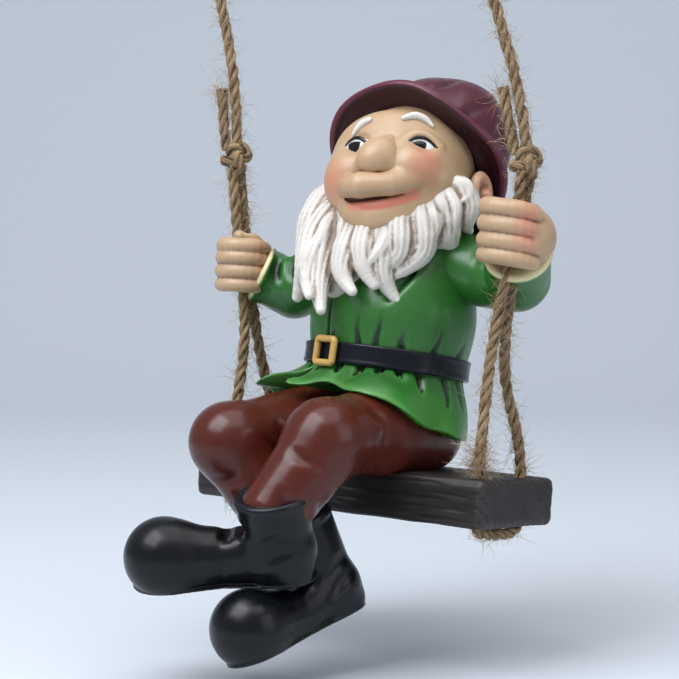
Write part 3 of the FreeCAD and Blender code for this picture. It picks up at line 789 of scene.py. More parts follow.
# The maroon's accent colour is painted shade, laid under the hat's brim.
MAROON = make_paint("maroon paint", "#4d1a29", "#1c0a10", accent="#2f101b", gloss=0.33, worn="#753244",
                    specular=0.4)
BROWN = make_paint("red-brown paint", "#501f15", "#200c08", gloss=0.24, worn="#80493a",
                   specular=0.36)
BLACK = make_paint("black paint", "#0d0f13", "#040506", gloss=0.26, worn="#20242b", mottle=0.3, specular=0.28)
BELT_PAINT = make_paint("belt paint", "#0d1018", "#040508", gloss=0.25, worn="#161a26", specular=0.28)
GOLD = make_paint("gold paint", "#b98f3f", "#3a2710", gloss=0.3, worn="#e8c987")
WOOD = make_paint("dark stained wood", "#191514", "#050404", gloss=0.5, worn="#453a34", mottle=0.5,
                  wash_range=(0.0, 0.25), worn_range=(-0.06, -0.22))
EYE = make_paint("eye paint", "#efeeea", "#efeeea", accent="#0d0c0e", second="#0d0c0e", gloss=0.12,
                 worn="#efeeea", mottle=0.0)

# %% [markdown]
# ## The figure
# Sizes are in millimetres over the level plank: X to the gnome's left, Y to its back, Z up.
# The gnome leans back a little, turns its face up, and crosses its left boot over the right.

# %% Tunic
TRUNK_TURN = turned(0, 0, -13) @ turned(-6, 0, 0)
RIB_WIDE, RIB_DEEP = 45, 39    # half width and half depth of the trunk where ribs start
BELT_TOP, BELT_MIDDLE, BELT_FOOT = 60.5, 54.6, 48.5


def trunk_rib(clay, angle, low, high, out, radius, soft):
    """A crease up the trunk at an angle round it, from one height to another."""
    heights = np.linspace(low, high, 9)
    a = math.radians(angle)
    points = []
    for k, z in enumerate(heights):
        share = (z - low) / (high - low)
        wide = RIB_WIDE + out * share + radius * 0.5
        deep = RIB_DEEP + out * share + radius * 0.5
        drift = a + 0.018 * math.sin(k * 0.5 + angle)
        points.append(TRUNK_TURN @ np.array([wide * math.sin(drift), -deep * math.cos(drift), z]))
    shape = 0.25 + 0.75 * (1 - np.linspace(0, 1, 9)) ** 0.8
    clay.rod(points, radius * shape, soft, True)


def sculpt_tunic_body():
    clay = Clay((-62, -50, 50), (62, 62, 136), 0.6)
    clay.tower(TRUNK_TURN, [
        (52, 44, 38, 0), (62, 46.5, 40.5, 0), (78, 49, 42, 0), (92, 47.5, 39.5, 0),
        (104, 44, 35, 0), (116, 38, 30, 0), (128, 27, 21, 0),
    ])
    rng = np.random.default_rng(5)
    for angle in np.cumsum(rng.uniform(11, 27, 19)) - 180:
        trunk_rib(clay, angle, BELT_TOP, BELT_TOP + rng.uniform(6, 19), 3.4, rng.uniform(1.2, 1.9), 2.6)
    trunk_rib(clay, -6, 60, 104, 3.0, 1.5, 1.0)
    for shoulder, sign in (((30, 10, 112), 1), ((-31, 2, 112), -1)):
        clay.ball(shoulder, 16, 7)
        for k in range(4):
            foot = np.array([sign * (24 - 6 * k), -28 + 3 * k, 88 - 8 * k])
            head = np.array(shoulder) + np.array([sign * 3, -17 + 2 * k, -4 - 5 * k])
            clay.rod(arc_points([foot, (foot + head) / 2 + np.array([0, -6.0, 0]), head], 7),
                     [0.4, 1.4, 1.9, 2.1, 1.9, 1.4, 0.6], 4.0, True)
    return clay.skin("tunic_body")


def sculpt_tunic_skirt():
    clay = Clay((-74, -72, 8), (76, 72, 60), 0.65)
    spots, wall = clay.tower(TRUNK_TURN, [
        (12, 56, 53, -8), (24, 54, 51.5, -7), (36, 50, 46.5, -4), (50, 45, 39, 0), (56, 44, 38, 0),
    ])
    around = np.degrees(np.arctan2(spots[..., 0], -(spots[..., 1] + 5)))
    drop = np.clip((52 - spots[..., 2]) / 34, 0, 1)
    flutes = (np.sin(np.radians(around * 7 + 20)) + 0.6 * np.sin(np.radians(around * 11 + 75))) * 1.7 * drop
    for middle, wide, lift in ((-34, 9, 10.0), (-7, 8, 7.0)):
        flutes += np.exp(-((around - middle) / wide) ** 2) * lift * drop ** 2
    flutes -= np.exp(-((around + 19) / 5) ** 2) * 6.0 * drop ** 1.5
    clay.field = (wall - flutes).astype(np.float32)
    for thigh, thick in (([(21, 6, 25), (24, -34, 22)], 26.5), ([(-21, 6, 25), (-30, -40, 20)], 26.0)):
        clay.rod(thigh, [thick, thick], 6)
    front = np.clip((102 - np.abs(around)) / 62, 0, 1)
    hem = 17.5 + 2.0 * np.sin(np.radians(around * 3 + 40)) + 1.4 * np.sin(np.radians(around * 8))
    hem = hem + 17 * front ** 0.8 - np.exp(-((around + 34) / 7) ** 2) * 2
    hem = hem + np.exp(-((around + 19) / 6) ** 2) * 12
    reach = np.sqrt(spots[..., 0] ** 2 + (spots[..., 1] + 5) ** 2) - 67
    ends = np.maximum(hem - spots[..., 2], spots[..., 2] - 55)
    clay.field = np.maximum(np.maximum(clay.field, reach), ends).astype(np.float32)
    rng = np.random.default_rng(8)
    for angle in np.cumsum(rng.uniform(11, 27, 19)) - 180:
        trunk_rib(clay, angle, BELT_FOOT, BELT_FOOT - rng.uniform(10, 24), 4.5, rng.uniform(1.2, 2.1), 2.8)

    def bright(at):
        local = at @ TRUNK_TURN
        return np.clip((42 - local[:, 2]) / 20, 0, 1) * 0.8
    return clay.skin("tunic_skirt", second=bright)


# %% Belt and buckle
def sculpt_belt():
    clay = Clay((-60, -60, 36), (60, 60, 74), 0.6)
    spots, wall = clay.tower(TRUNK_TURN, [(47, 47.3, 41.3, 0), (62, 47.3, 41.3, 0)])
    height = np.abs(spots[..., 2] - BELT_MIDDLE)
    band = height - 5.6
    edge = np.exp(-((height - 4.6) / 0.7) ** 2) * 0.35
    ring = np.maximum(np.abs(wall + 1.6) - 2.2 - edge, band)
    clay.field = ring.astype(np.float32)
    return clay.skin("belt", 1.0)


def sculpt_buckle():
    clay = Clay((-26, -60, 40), (16, -30, 70), 0.35)
    side, up = 6.6, 6.3
    corners = [(-side, up - 1), (-side + 1, up), (side - 1, up), (side, up - 1), (side, 1 - up),
               (side - 1, -up), (1 - side, -up), (-side, 1 - up), (-side, up - 1)]
    points = [TRUNK_TURN @ np.array([x, x * x * 0.012 - 44.4, BELT_MIDDLE + z]) for x, z in corners]
    clay.rod(points, [1.9] * 9, 0.8)
    return clay.skin("buckle", 0.8)


# %% Trousers and boots
LEGS = {
    "left": [(21, 6, 24), (23, -34, 20), (24, -74, 14), (20, -86, -2), (12, -97, -22)],
    "right": [(-21, 6, 24), (-28, -34, 16), (-36, -76, 8), (-20, -70, -16), (2, -60, -38)],
}
LEG_RADII = {"left": [24.5, 22.0, 20.2, 18.8, 17.6], "right": [24, 21.5, 19.8, 17.0, 15.6]}


def crease(clay, middle, along, down, length, radius, soft):
    """A short curved fold: it bows toward down and thins out at both ends."""
    along, down = unit(np.array(along, float)), unit(np.array(down, float))
    t = np.linspace(-1, 1, 9)
    points = middle + along * (t * length / 2)[:, None] + down * ((t * t - 1) * -length * 0.12)[:, None]
    clay.rod(points, radius * np.cos(t * math.pi / 2 * 0.96) ** 0.7 + 0.1, soft, True)


def along_limb(line, radii, share):
    """The place this share of the way along a limb, the limb's direction there and its radius."""
    place = share * (len(line) - 1)
    k = min(int(place), len(line) - 2)
    at = line[k] + (line[k + 1] - line[k]) * (place - k)
    return at, unit(line[k + 1] - line[k]), np.interp(place, range(len(line)), radii)


def leg_fold(clay, side, share, angle, length, radius, slant):
    """A fold at a share along a leg and an angle round it."""
    at, way, thick = along_limb(np.array(LEGS[side], float), LEG_RADII[side], share)
    a = unit(np.cross(way, [0, 0, 1.0]))
    b = np.cross(a, way)
    turn = math.radians(angle)
    out = a * math.cos(turn) + b * math.sin(turn)
    middle, along = at + out * (thick + radius * 0.75), np.cross(way, out) + way * slant
    crease(clay, middle, along, way, length, radius, 4.0)


def sculpt_trousers(side):
    low, high = {"left": ((-16, -116, -46), (52, 34, 52)), "right": ((-64, -100, -60), (22, 34, 52))}[side]
    clay = Clay(low, high, 0.7)
    clay.rod(LEGS[side], LEG_RADII[side], 4)
    if side == "left":
        clay.ball((24, -75, 15), 20.8, 6)
        clay.rod([(30, 8, 15), (30, -30, 12)], [16, 15], 9)
    else:
        clay.ball((-37, -77, 9), 20.4, 6)
        clay.rod([(-28, 8, 14), (-30, -30, 9)], [15, 14], 9)
    rng = np.random.default_rng(3 if side == "left" else 4)
    for share in (0.2, 0.36, 0.62, 0.7, 0.8, 0.92):
        for angle in rng.uniform(0, 360, 2):
            leg_fold(clay, side, share + rng.uniform(-0.02, 0.02), angle, rng.uniform(18, 30),
                     rng.uniform(2.2, 3.4), rng.uniform(-0.5, 0.5))
    return clay.skin(side + "_trouser_leg")


BOOTS = {
    "left": [(12, -97, -22), (11, -89, -43), (-14, -104, -47), (-38, -121, -50)],
    "right": [(2, -60, -38), (10, -47, -65), (8, -72, -76), (2, -98, -83)],
}


def sculpt_boot(side):
    ankle, heel, instep, toe = [np.array(p, float) for p in BOOTS[side]]
    everything = np.array([ankle, heel, instep, toe])
    clay = Clay(everything.min(0) - 30, everything.max(0) + 30, 0.65)
    forward = unit(toe - heel)
    shaft = unit(ankle - heel)
    up = unit(shaft - forward * (shaft @ forward))
    across = unit(np.cross(shaft, forward))
    ahead = np.cross(across, shaft)
    top = ankle + shaft * (3 if side == "left" else 5)
    clay.rod([top, heel + shaft * 6], [19.2, 17.0], 3)
    clay.rod([heel, instep, toe], [16.0, 14.6, 18.4], 7)
    clay.ball(toe + up * 1.0, 19.2, 7)
    clay.ball(heel - forward * 1.5, 16.0, 6)
    for hand in (-1, 1):
        corner = heel - up * 7.5 - forward * 7.5
        clay.rod([corner + across * hand * 6, corner + across * hand * 6 + forward * 12], [8.5, 8.5], 3)
    where, spots = clay.everywhere()
    level = ((spots - (top + shaft * 6).astype(np.float32)) @ shaft.astype(np.float32))
    clay.blend(where, -level, 1.2, True)
    ring = np.array([
        top + shaft * 4.6 + (across * math.cos(a) + ahead * math.sin(a)) * 18.4
        for a in np.linspace(0, 2 * math.pi, 33)
    ])
    clay.rod(ring, [1.7] * 33, 3.0)
    bottom = 14.5
    floor_level = ((spots - (heel - up * bottom).astype(np.float32)) @ up.astype(np.float32))
    clay.blend(where, floor_level, 1.5, True)
    sole = [heel - forward * 4, heel + forward * 4, instep, toe - forward * 4, toe + forward * 3]
    line = np.array([p - up * ((p - heel) @ up) - up * (bottom - 1.2) for p in sole])
    clay.rod(line, [14.6, 14.6, 12.4, 15.6, 15.0], 0.5, flat=(up, 0.12))
    fold_at = heel + (instep - heel) * 0.45 + up * 15.5
    for k, share in enumerate((0.2, 0.5)):
        middle = fold_at + forward * (share * 26) + up * (3.0 - 2.6 * k)
        crease(clay, middle, across, -up, 30 - 3 * k, 2.7 - 0.3 * k, 4.5)
    for hand in (-1, 1):
        for k in range(2):
            at = heel + shaft * (10 - 8 * k) + across * hand * 18.8 + forward * (1 + 2 * k)
            crease(clay, at, forward * 0.9 - up * 0.45, up, 24, 2.2, 4.5)
    return clay.skin(side + "_boot", 1.8)


# %% Sleeves
ARMS = {
    "left": ([(32, 12, 110), (56, 15, 104), (76, 13, 103), (83, 3, 110), (87.5, -6, 116)],
             [18.5, 17.5, 17.8, 16.8, 17.6]),
    "right": ([(-33, 4, 110), (-52, 8, 98), (-66, 7, 91), (-75, 0, 95), (-80, -5, 98)],
              [18.5, 17.2, 17.0, 15.8, 16.2]),
}


def sculpt_sleeve(side):
    line, radii = ARMS[side]
    line = np.array(line, float)
    clay = Clay(line.min(0) - 26, line.max(0) + 26, 0.65)
    clay.rod(line, radii, 5)
    end = line[-1]
    way = unit(line[-1] - line[-2])
    where, spots = clay.everywhere()
    past = (spots - (end + way * 1.5).astype(np.float32)) @ way.astype(np.float32)
    clay.blend(where, -past, 1.5, True)
    a = unit(np.cross(way, [0.2, 0.9, 0.3]))
    b = np.cross(way, a)
    rim = [end + way * 0.4 + (a * math.cos(t) + b * math.sin(t)) * (radii[-1] - 1.2)
           for t in np.linspace(0, 2 * math.pi, 33)]
    clay.rod(rim, [2.1] * 33, 2.0)
    clay.ball(end + way * 9, 12.5, 2.0, True)
    rng = np.random.default_rng(11 if side == "left" else 12)
    inner = unit(line[0] * 0.5 + line[-1] * 0.5 - line[2])
    for share in np.linspace(0.12, 0.86, 9):
        at, axis, thick = along_limb(line, radii, share)
        out = inner * rng.uniform(0.4, 1.2) + rng.normal(0, 0.6, 3)
        out -= axis * (out @ axis)
        out = unit(out)
        radius = rng.uniform(1.8, 2.8)
        crease(clay, at + out * (thick + radius * 0.8), np.cross(axis, out) + axis * rng.normal(0, 0.4), axis,
               rng.uniform(20, 32), radius, 4.0)

    def cream(at):
        along = (at - end) @ way
        return (along > 0.3) * 1.0
    return clay.skin(side + "_sleeve", accent=cream)


# %% Fists
RIGHTWARD = np.array([0.80, 0.60, 0.0])
FORWARD = np.array([0.60, -0.80, 0.0])
GRIP_FORMS = {
    "left": {
        "rope": (91.2, -12.6, 124), "palm": (3.4, -1.0, -1, 16.2), "fingers": (136.5, 128.0, 119.6, 112.0),
        "path": [(8, 11), (2, 15.0), (-8, 14.0), (-15.5, 8.0), (-17.0, 0), (-12, -7)], "thick": 5.0,
        "thumb": [(8, -4, 136), (-2, -3, 137), (-10, 0, 135)], "thumb_thick": 4.6,
    },
    "right": {
        "rope": (-87.4, -12.6, 102), "palm": (1.0, -1.0, 0, 14.6), "fingers": (112.4, 105.8, 98.2, 90.8),
        "path": [(11.5, 5), (8, 11.5), (0, 13.4), (-8, 11.2), (-12.6, 4), (-11, -5)], "thick": 4.5,
        "thumb": [(9, -2, 112), (4, 1, 117), (-3, 3, 117.5)], "thumb_thick": 3.8,
    },
}


def sculpt_fist(side):
    plan = GRIP_FORMS[side]
    rope = np.array(plan["rope"], float)

    def spot(right, front, height=None):
        at = rope + RIGHTWARD * right + FORWARD * front
        if height is not None:
            at[2] = height
        return at
    clay = Clay(rope - 27, rope + 27, 0.5)
    right, front, lift, size = plan["palm"]
    clay.ball(spot(right, front) + np.array([0, 0, lift]), size, 1.0)
    wrist = np.array(ARMS[side][0][-1]) * 0.6 + spot(right, front) * 0.4
    clay.rod([spot(right, front), wrist], [size - 1, size - 4.5], 4)
    tilt = 0.10 if side == "left" else 0.0
    for k, height in enumerate(plan["fingers"]):
        path = [spot(x, y, height - tilt * x - (0.8 if j in (0, 5) else 0))
                for j, (x, y) in enumerate(plan["path"])]
        thick = plan["thick"] * (1.0, 1.04, 1.0, 0.92)[k]
        joints_of_finger = tapers(14, [0, 0.25, 0.45, 0.7, 1], [0.8, 1.02, 0.95, 1.0, 0.85])
        clay.rod(arc_points(path, 14), joints_of_finger * thick, 0.9)
    thumb = [spot(x, y, z) for x, y, z in plan["thumb"]]
    clay.rod(arc_points(thumb, 8), [plan["thumb_thick"]] * 8, 1.4)
    clay.rod([rope - np.array([0, 0, 30]), rope + np.array([0, 0, 30])], [4.2, 4.2], 0.8, True)
    knuckles = [spot(plan["path"][1][0] + 1, plan["path"][1][1], h) for h in plan["fingers"][:3]]
    strength = 0.55 if side == "left" else 0.25

    def blush(at):
        return sum(near(at, k, 5.5, 7.0) for k in knuckles) * strength
    return clay.skin(side + "_hand", 1.1, accent=blush)


# %% [markdown]
# ## The head
# A round skull carries soft lumps for cheeks, jaw and chin. The mouth is a cut between an upper
# and a lower lip. The head narrows upward, so that it fits into the hat and leaves the brim bare.

# %% Head
SKULL = np.array([0, 13, 160.0])
HAT_CENTRE, HAT_TILT = np.array([3.5, 21.5, 163.0]), turned(-55, 0, 6)


FACE_LINES = {
    "jaw": ([(-6, -22, 144), (-3, -27, 134), (9, -28, 128.5),
             (22, -23, 131), (33, -8, 139), (37, 6, 148)], 16),
    "upper lip": ([(-4.0, -31.5, 142), (0.0, -36.4, 144.6), (8, -38.2, 146.2), (17.5, -35.2, 146.8),
                   (25.5, -28.3, 147.6), (32, -20.3, 149), (36, -12.5, 151)], 24),
    "mouth": ([(-3.0, -34, 139.4), (3, -36, 137.8), (10, -35.6, 137.6), (18, -32.4, 139.2),
               (26, -27.2, 142.4), (32, -20.6, 145.8), (37.0, -12.8, 149.6)], 24),
    "tongue": ([(1.5, -33.2, 136.0), (9, -33.6, 135.2), (17.6, -31.0, 136.4), (26, -26.0, 139.8),
                (32.4, -19.4, 144.0)], 20),
    "lower lip": ([(1, -32.6, 134.0), (9, -32.2, 131.8), (17, -29.8, 132.6), (25, -25.2, 136.0),
                   (31, -19.0, 141.0), (35.5, -12.4, 146.2)], 20),
    "smile": ([(20, -29.5, 158), (30, -20.5, 155), (37, -10.5, 153), (39.2, -4.0, 150)], 11),
}


def past_hat(local):
    """How far a place in the hat's own axes is outside the cone that fits into the hat."""
    return np.hypot(local[..., 0], local[..., 1]) - 34.6 - 0.45 * np.clip(-2 - local[..., 2], 0, 60)


def over_face(point, out):
    """The spot on the forehead under this point, moved this far out."""
    way = unit(np.array(point, float) - SKULL)
    for reach in np.arange(39.5, 25, -0.1):
        if past_hat((SKULL + way * reach - HAT_CENTRE) @ HAT_TILT) < 0:
            break
    return SKULL + way * (reach + out)


EYES = {"left": np.array([27.6, -14.6, 168.0]), "right": np.array([-3.5, -24.5, 166.6])}


def sculpt_head():
    clay = Clay((-48, -54, 106), (54, 58, 204), 0.55)
    clay.ball(SKULL, 39.5, 1)
    clay.ball((3, 2, 147), 31, 12)
    clay.ball((9, -12, 138), 19, 9)
    clay.ball((24, -6, 153), 18, 9)
    clay.ball((-11, -13, 150), 17, 9)
    clay.ball((25, 2, 142), 18, 10)
    lines = {name: arc_points(points, count) for name, (points, count) in FACE_LINES.items()}
    upper, tongue = lines["upper lip"], lines["tongue"]
    clay.rod(lines["jaw"], [7.5, 8, 8.5, 9, 9.5, 9.5, 9.5, 9.5, 9, 9, 8.5, 8, 8, 7.5, 7, 6.5], 5)
    for side in EYES:
        at = EYES[side]
        way = unit(at - SKULL)
        clay.ball(at + way * 6.2, 8.4, 4, True)
        if side == "left":
            eye_at, out, across, up = eye_frame(side)
            lid = [eye_at + across * x + up * z + out * d for x, z, d in
                   ((-10.5, 0.5, -0.8), (-6, 5.4, -0.2), (0, 8.2, 0.2), (6, 6.4, -0.2), (11.5, 1.2, -0.8))]
            clay.rod(arc_points(lid, 12), [1.7] * 12, 3.0)
            bag = [eye_at + across * x + up * z + out * d for x, z, d in
                   ((-9, -5.6, -0.8), (-3, -8.2, -0.4), (4, -8.2, -0.4), (10, -5.2, -0.8))]
            clay.rod(arc_points(bag, 10), [1.5] * 10, 3.0)
    lip = tapers(24, [0, 0.12, 0.35, 0.5, 0.62, 0.82, 1], [2.4, 5.0, 7.2, 6.2, 6.6, 4.4, 2.0])
    clay.rod(upper, lip, 1.0)
    clay.rod(lines["mouth"], tapers(24, [0, 0.2, 0.6, 0.85, 1], [1.2, 2.3, 2.3, 1.6, 1.0]), 1.0, True)
    clay.rod(tongue, tapers(20, [0, 0.3, 0.7, 1], [1.8, 3.5, 3.5, 1.6]), 0.5)
    clay.rod(lines["lower lip"], tapers(20, [0, 0.3, 0.7, 1], [2.2, 3.6, 3.4, 1.8]), 2.4)
    clay.rod(lines["smile"], np.sin(np.linspace(0.3, 2.9, 11)) * 2.3 + 0.2, 3.5, True)
    clay.ball((38.2, -9.0, 151.5), 3.2, 4)
    for cheek in ((25.5, -17.5, 158), (-7, -23.5, 154)):
        clay.ball(cheek, 10.8, 9)
    clay.ball((-10, -21, 146), 11, 8)
    where, spots = clay.everywhere()
    local = (spots - HAT_CENTRE.astype(np.float32)) @ HAT_TILT.astype(np.float32)
    clay.blend(where, -past_hat(local).astype(np.float32), 3.0, True)

    def blush(at):
        cheeks = near(at, (34, -18, 158.5), 8.0, 9) * 0.72 + near(at, (-12, -33, 151), 8, 9) * 0.45
        side = near(at, (-14, -27, 142), 8, 11) * 0.4
        lips = np.zeros(len(at))
        for lip in tongue[1:-1]:
            lips = np.maximum(lips, near(at, lip + np.array([0, -1.0, 0.6]), 4.2, 1.2))
        return np.maximum(cheeks + side, lips * 0.9)

    # A darker skin colour over the upper lip, just under the nose.
    def upper_lip_darker(at):
        under = np.zeros(len(at))
        for lip in upper[1:-2:2]:
            under = np.maximum(under, near(at, lip, 6.6, 4))
        return under * 0.5
    return clay.skin("head", 2.0, accent=blush, second=upper_lip_darker)


def sculpt_nose():
    clay = Clay((-8, -60, 138), (40, -2, 192), 0.5)
    clay.ball((11.5, -31.0, 160.0), 9.0, 1)
    clay.bead((12.5, -28.5, 160.6), (11.5, 8.5, 9.0), turned(0, 8, 8), 4)
    clay.ball((21.0, -25.0, 156.4), 5.4, 3.5)
    clay.ball((2.0, -29.8, 155.0), 5.2, 3.5)
    clay.rod([(13, -25.5, 165), (13, -12.0, 176)], [7.0, 3.0], 7)
    for x, y in ((17.0, -34.0), (7.5, -37.0)):
        clay.ball((x, y, 151.4), 2.2, 1.6, True)
    return clay.skin("nose", 1.6, accent=lambda at: near(at, (9, -40, 156), 7, 12) * 0.12)


def eye_frame(side):
    at = EYES[side]
    way = unit(at - SKULL)
    across = unit(np.cross([0, 0, 1.0], way))
    return at, way, across, np.cross(way, across)


def sculpt_eye(side):
    at, way, across, up = eye_frame(side)
    turn = np.stack([across, way, up], 1)
    clay = Clay(at - 15, at + 15, 0.3)
    clay.bead(at + way * 0.2, (9.6, 3.8, 5.2), turn, 0.5)
    upper = [at + across * x + up * z + way * d for x, z, d in (
        (-9.8, -2.4, 1.2), (-6.5, 2.0, 3.0), (-2.0, 4.7, 3.1),
        (2.5, 4.8, 3.1), (6.5, 2.5, 2.9), (10.8, -1.4, 1.4),
    )]
    lash = arc_points(upper, 18)
    clay.rod(lash, tapers(18, [0, 0.5, 1], [0.6, 1.1, 0.7]), 0.3)

    def iris(spots):
        flat = (spots - at) @ np.stack([across, up], 1)
        return np.clip((4.6 - np.hypot(flat[:, 0] + 0.8, flat[:, 1] - 0.8)) / 0.35, 0, 1)

    def line(spots):
        away = np.min([np.linalg.norm(spots - p, axis=1) for p in lash], axis=0)
        return np.clip((1.55 - away) / 0.4, 0, 1)
    return clay.skin(side + "_eye", 0.8, accent=iris, second=line)


def sculpt_eyebrow(side):
    points, radii = {
        "left": ([(17.6, -15.6, 184.2), (21.8, -11.0, 186.8), (27.0, -7.8, 185.2), (31.2, -6.6, 181.2)],
                 (1.4, 2.2, 1.9, 0.8)),
        "right": ([(-0.8, -22.8, 183.2), (-4.8, -24.0, 181.6), (-7.6, -25.4, 178.2), (-9.4, -26.0, 174.4)],
                  (1.6, 2.0, 1.7, 0.8)),
    }[side]
    line = arc_points([over_face(point, 0.7) for point in points], 12)
    clay = Clay(line.min(0) - 8, line.max(0) + 8, 0.3)
    clay.rod(line, tapers(12, np.linspace(0, 1, 4), radii), 0.6)
    for k in range(2, 10, 2):
        way = line[k + 1] - line[k - 1]
        clay.rod([line[k] + (0, -3, 2.5), line[k] + way * 1.2 + (0, -3, -1.5)], [0.35, 0.35], 0.4, True)
    return clay.skin(side + "_eyebrow", 0.8)


def sculpt_ear(side):
    lobe = np.array({"left": (44.0, 22, 147.5), "right": (-39.5, 13.5, 146.5)}[side], float)
    sign = SIDES[side]
    clay = Clay(lobe - 17, lobe + 17, 0.45)
    clay.bead(lobe, (5.5, 8.0, 11.5), turned(12, 0, 0), 1)
    clay.bead(lobe + (sign * 5, -1.5, 0.5), (3.6, 5.0, 7.6), turned(12, 0, 0), 2.0, True)
    clay.ball(lobe + (sign * 3.0, 1, -1), 3.0, 2.5)
    clay.ball(lobe + (sign * 1.5, -4, -8.5), 4.0, 3)
    clay.ball(lobe + (-sign * 5.0, 2, -2), 6.0, 4)
    return clay.skin(side + "_ear", 1.2, accent=lambda at: near(at, lobe + (sign * 4, 0, 0), 9, 8) * 0.45)


# %% Hat
def brim_sag(around, reach):
    """The brim's height at this angle and this far out: two slow waves on a gentle slope."""
    return 1.8 * np.sin(3 * around + 1) + 1.1 * np.sin(5 * around + 2.2) - 0.30 * (reach - 40)


def brim_edge(around):
    """How far out the brim ends at this angle."""
    return 49.8 + 1.2 * np.sin(2 * around + 0.7) + 0.8 * np.sin(5 * around + 2)


def sculpt_hat():
    clay = Clay((-58, -32, 106), (64, 88, 226), 0.75)
    clay.ball((2, 37, 170), 40.5, 1)
    clay.bead((13, 44, 180), (27, 27, 28), None, 7)
    clay.bead((-8, 54, 164), (27, 22, 28), None, 14)
    where, spots = clay.everywhere()
    local = (spots - HAT_CENTRE.astype(np.float32)) @ HAT_TILT.astype(np.float32)
    around = np.arctan2(local[..., 1], local[..., 0])
    reach = np.hypot(local[..., 0], local[..., 1])
    sheet = np.abs(local[..., 2] - brim_sag(around, reach)) - 2.0
    brim = np.maximum(np.maximum(sheet, reach - brim_edge(around)), 33 - reach)
    clay.blend(where, brim.astype(np.float32), 5.0)
    turns = np.linspace(-math.pi, math.pi, 61)

    def ring(outs, heights, thick, soft):
        line = [HAT_CENTRE + HAT_TILT @ np.array([math.cos(a) * out, math.sin(a) * out, height])
                for a, out, height in zip(turns, outs, heights)]
        clay.rod(line, [thick] * len(turns), soft)

    hem = brim_edge(turns) - 0.6
    ring(hem, brim_sag(turns, hem), 2.2, 2.0)
    ring(turns * 0 + 36.5, turns * 0 + 4.5, 4.4, 4.0)
    height = local[..., 2]
    upper = np.clip((height - 3) / 10, 0, 1) * np.clip((52 - height) / 26, 0, 1)
    folds = np.maximum(0, np.sin(around * 6 + 0.9 + height / 17)) ** 2 * 1.6
    folds += np.maximum(0, np.sin(around * 9 + 2.4 - height / 13)) ** 3 * 1.1
    folds += np.exp(-((height - 6) / 2.5) ** 2) * 1.3
    clay.field += (folds * upper * (reach > 30)).astype(np.float32)
    clay.blend(where, np.maximum(reach - 34.8, local[..., 2] + 0.5).astype(np.float32), 2.0, True)
    clay.ball((0, 0, 126), 33, 3, True)

    # Painted shade: the underside of the brim and the inside of the hat take the darker maroon accent.
    def brim_underside_shade(at):
        place = (at - HAT_CENTRE) @ HAT_TILT
        out, turn = np.hypot(place[:, 0], place[:, 1]), np.arctan2(place[:, 1], place[:, 0])
        low = brim_sag(turn, out)
        return np.clip((low + 0.6 - place[:, 2]) / 1.4, 0, 1) * np.clip((50.4 - out) / 1.5, 0, 1)
    return clay.skin("hat", 2.4, accent=brim_underside_shade)


# %% [markdown]
# ## The beard
# Fourteen thick ridged locks give the outline. Many thin ones lie over them, and every tip curls
# a little. The same seed each time keeps every lock where it is.

# %% Beard
def beard_root(angle):
    """Where the hair starts: along the jaw from the right ear, under the chin, to the left ear."""
    a = math.radians(angle)
    return np.array([4 + 38.0 * math.sin(a), 12 - 33.0 * math.cos(a), 129 + 24 * abs(math.sin(a)) ** 1.8])


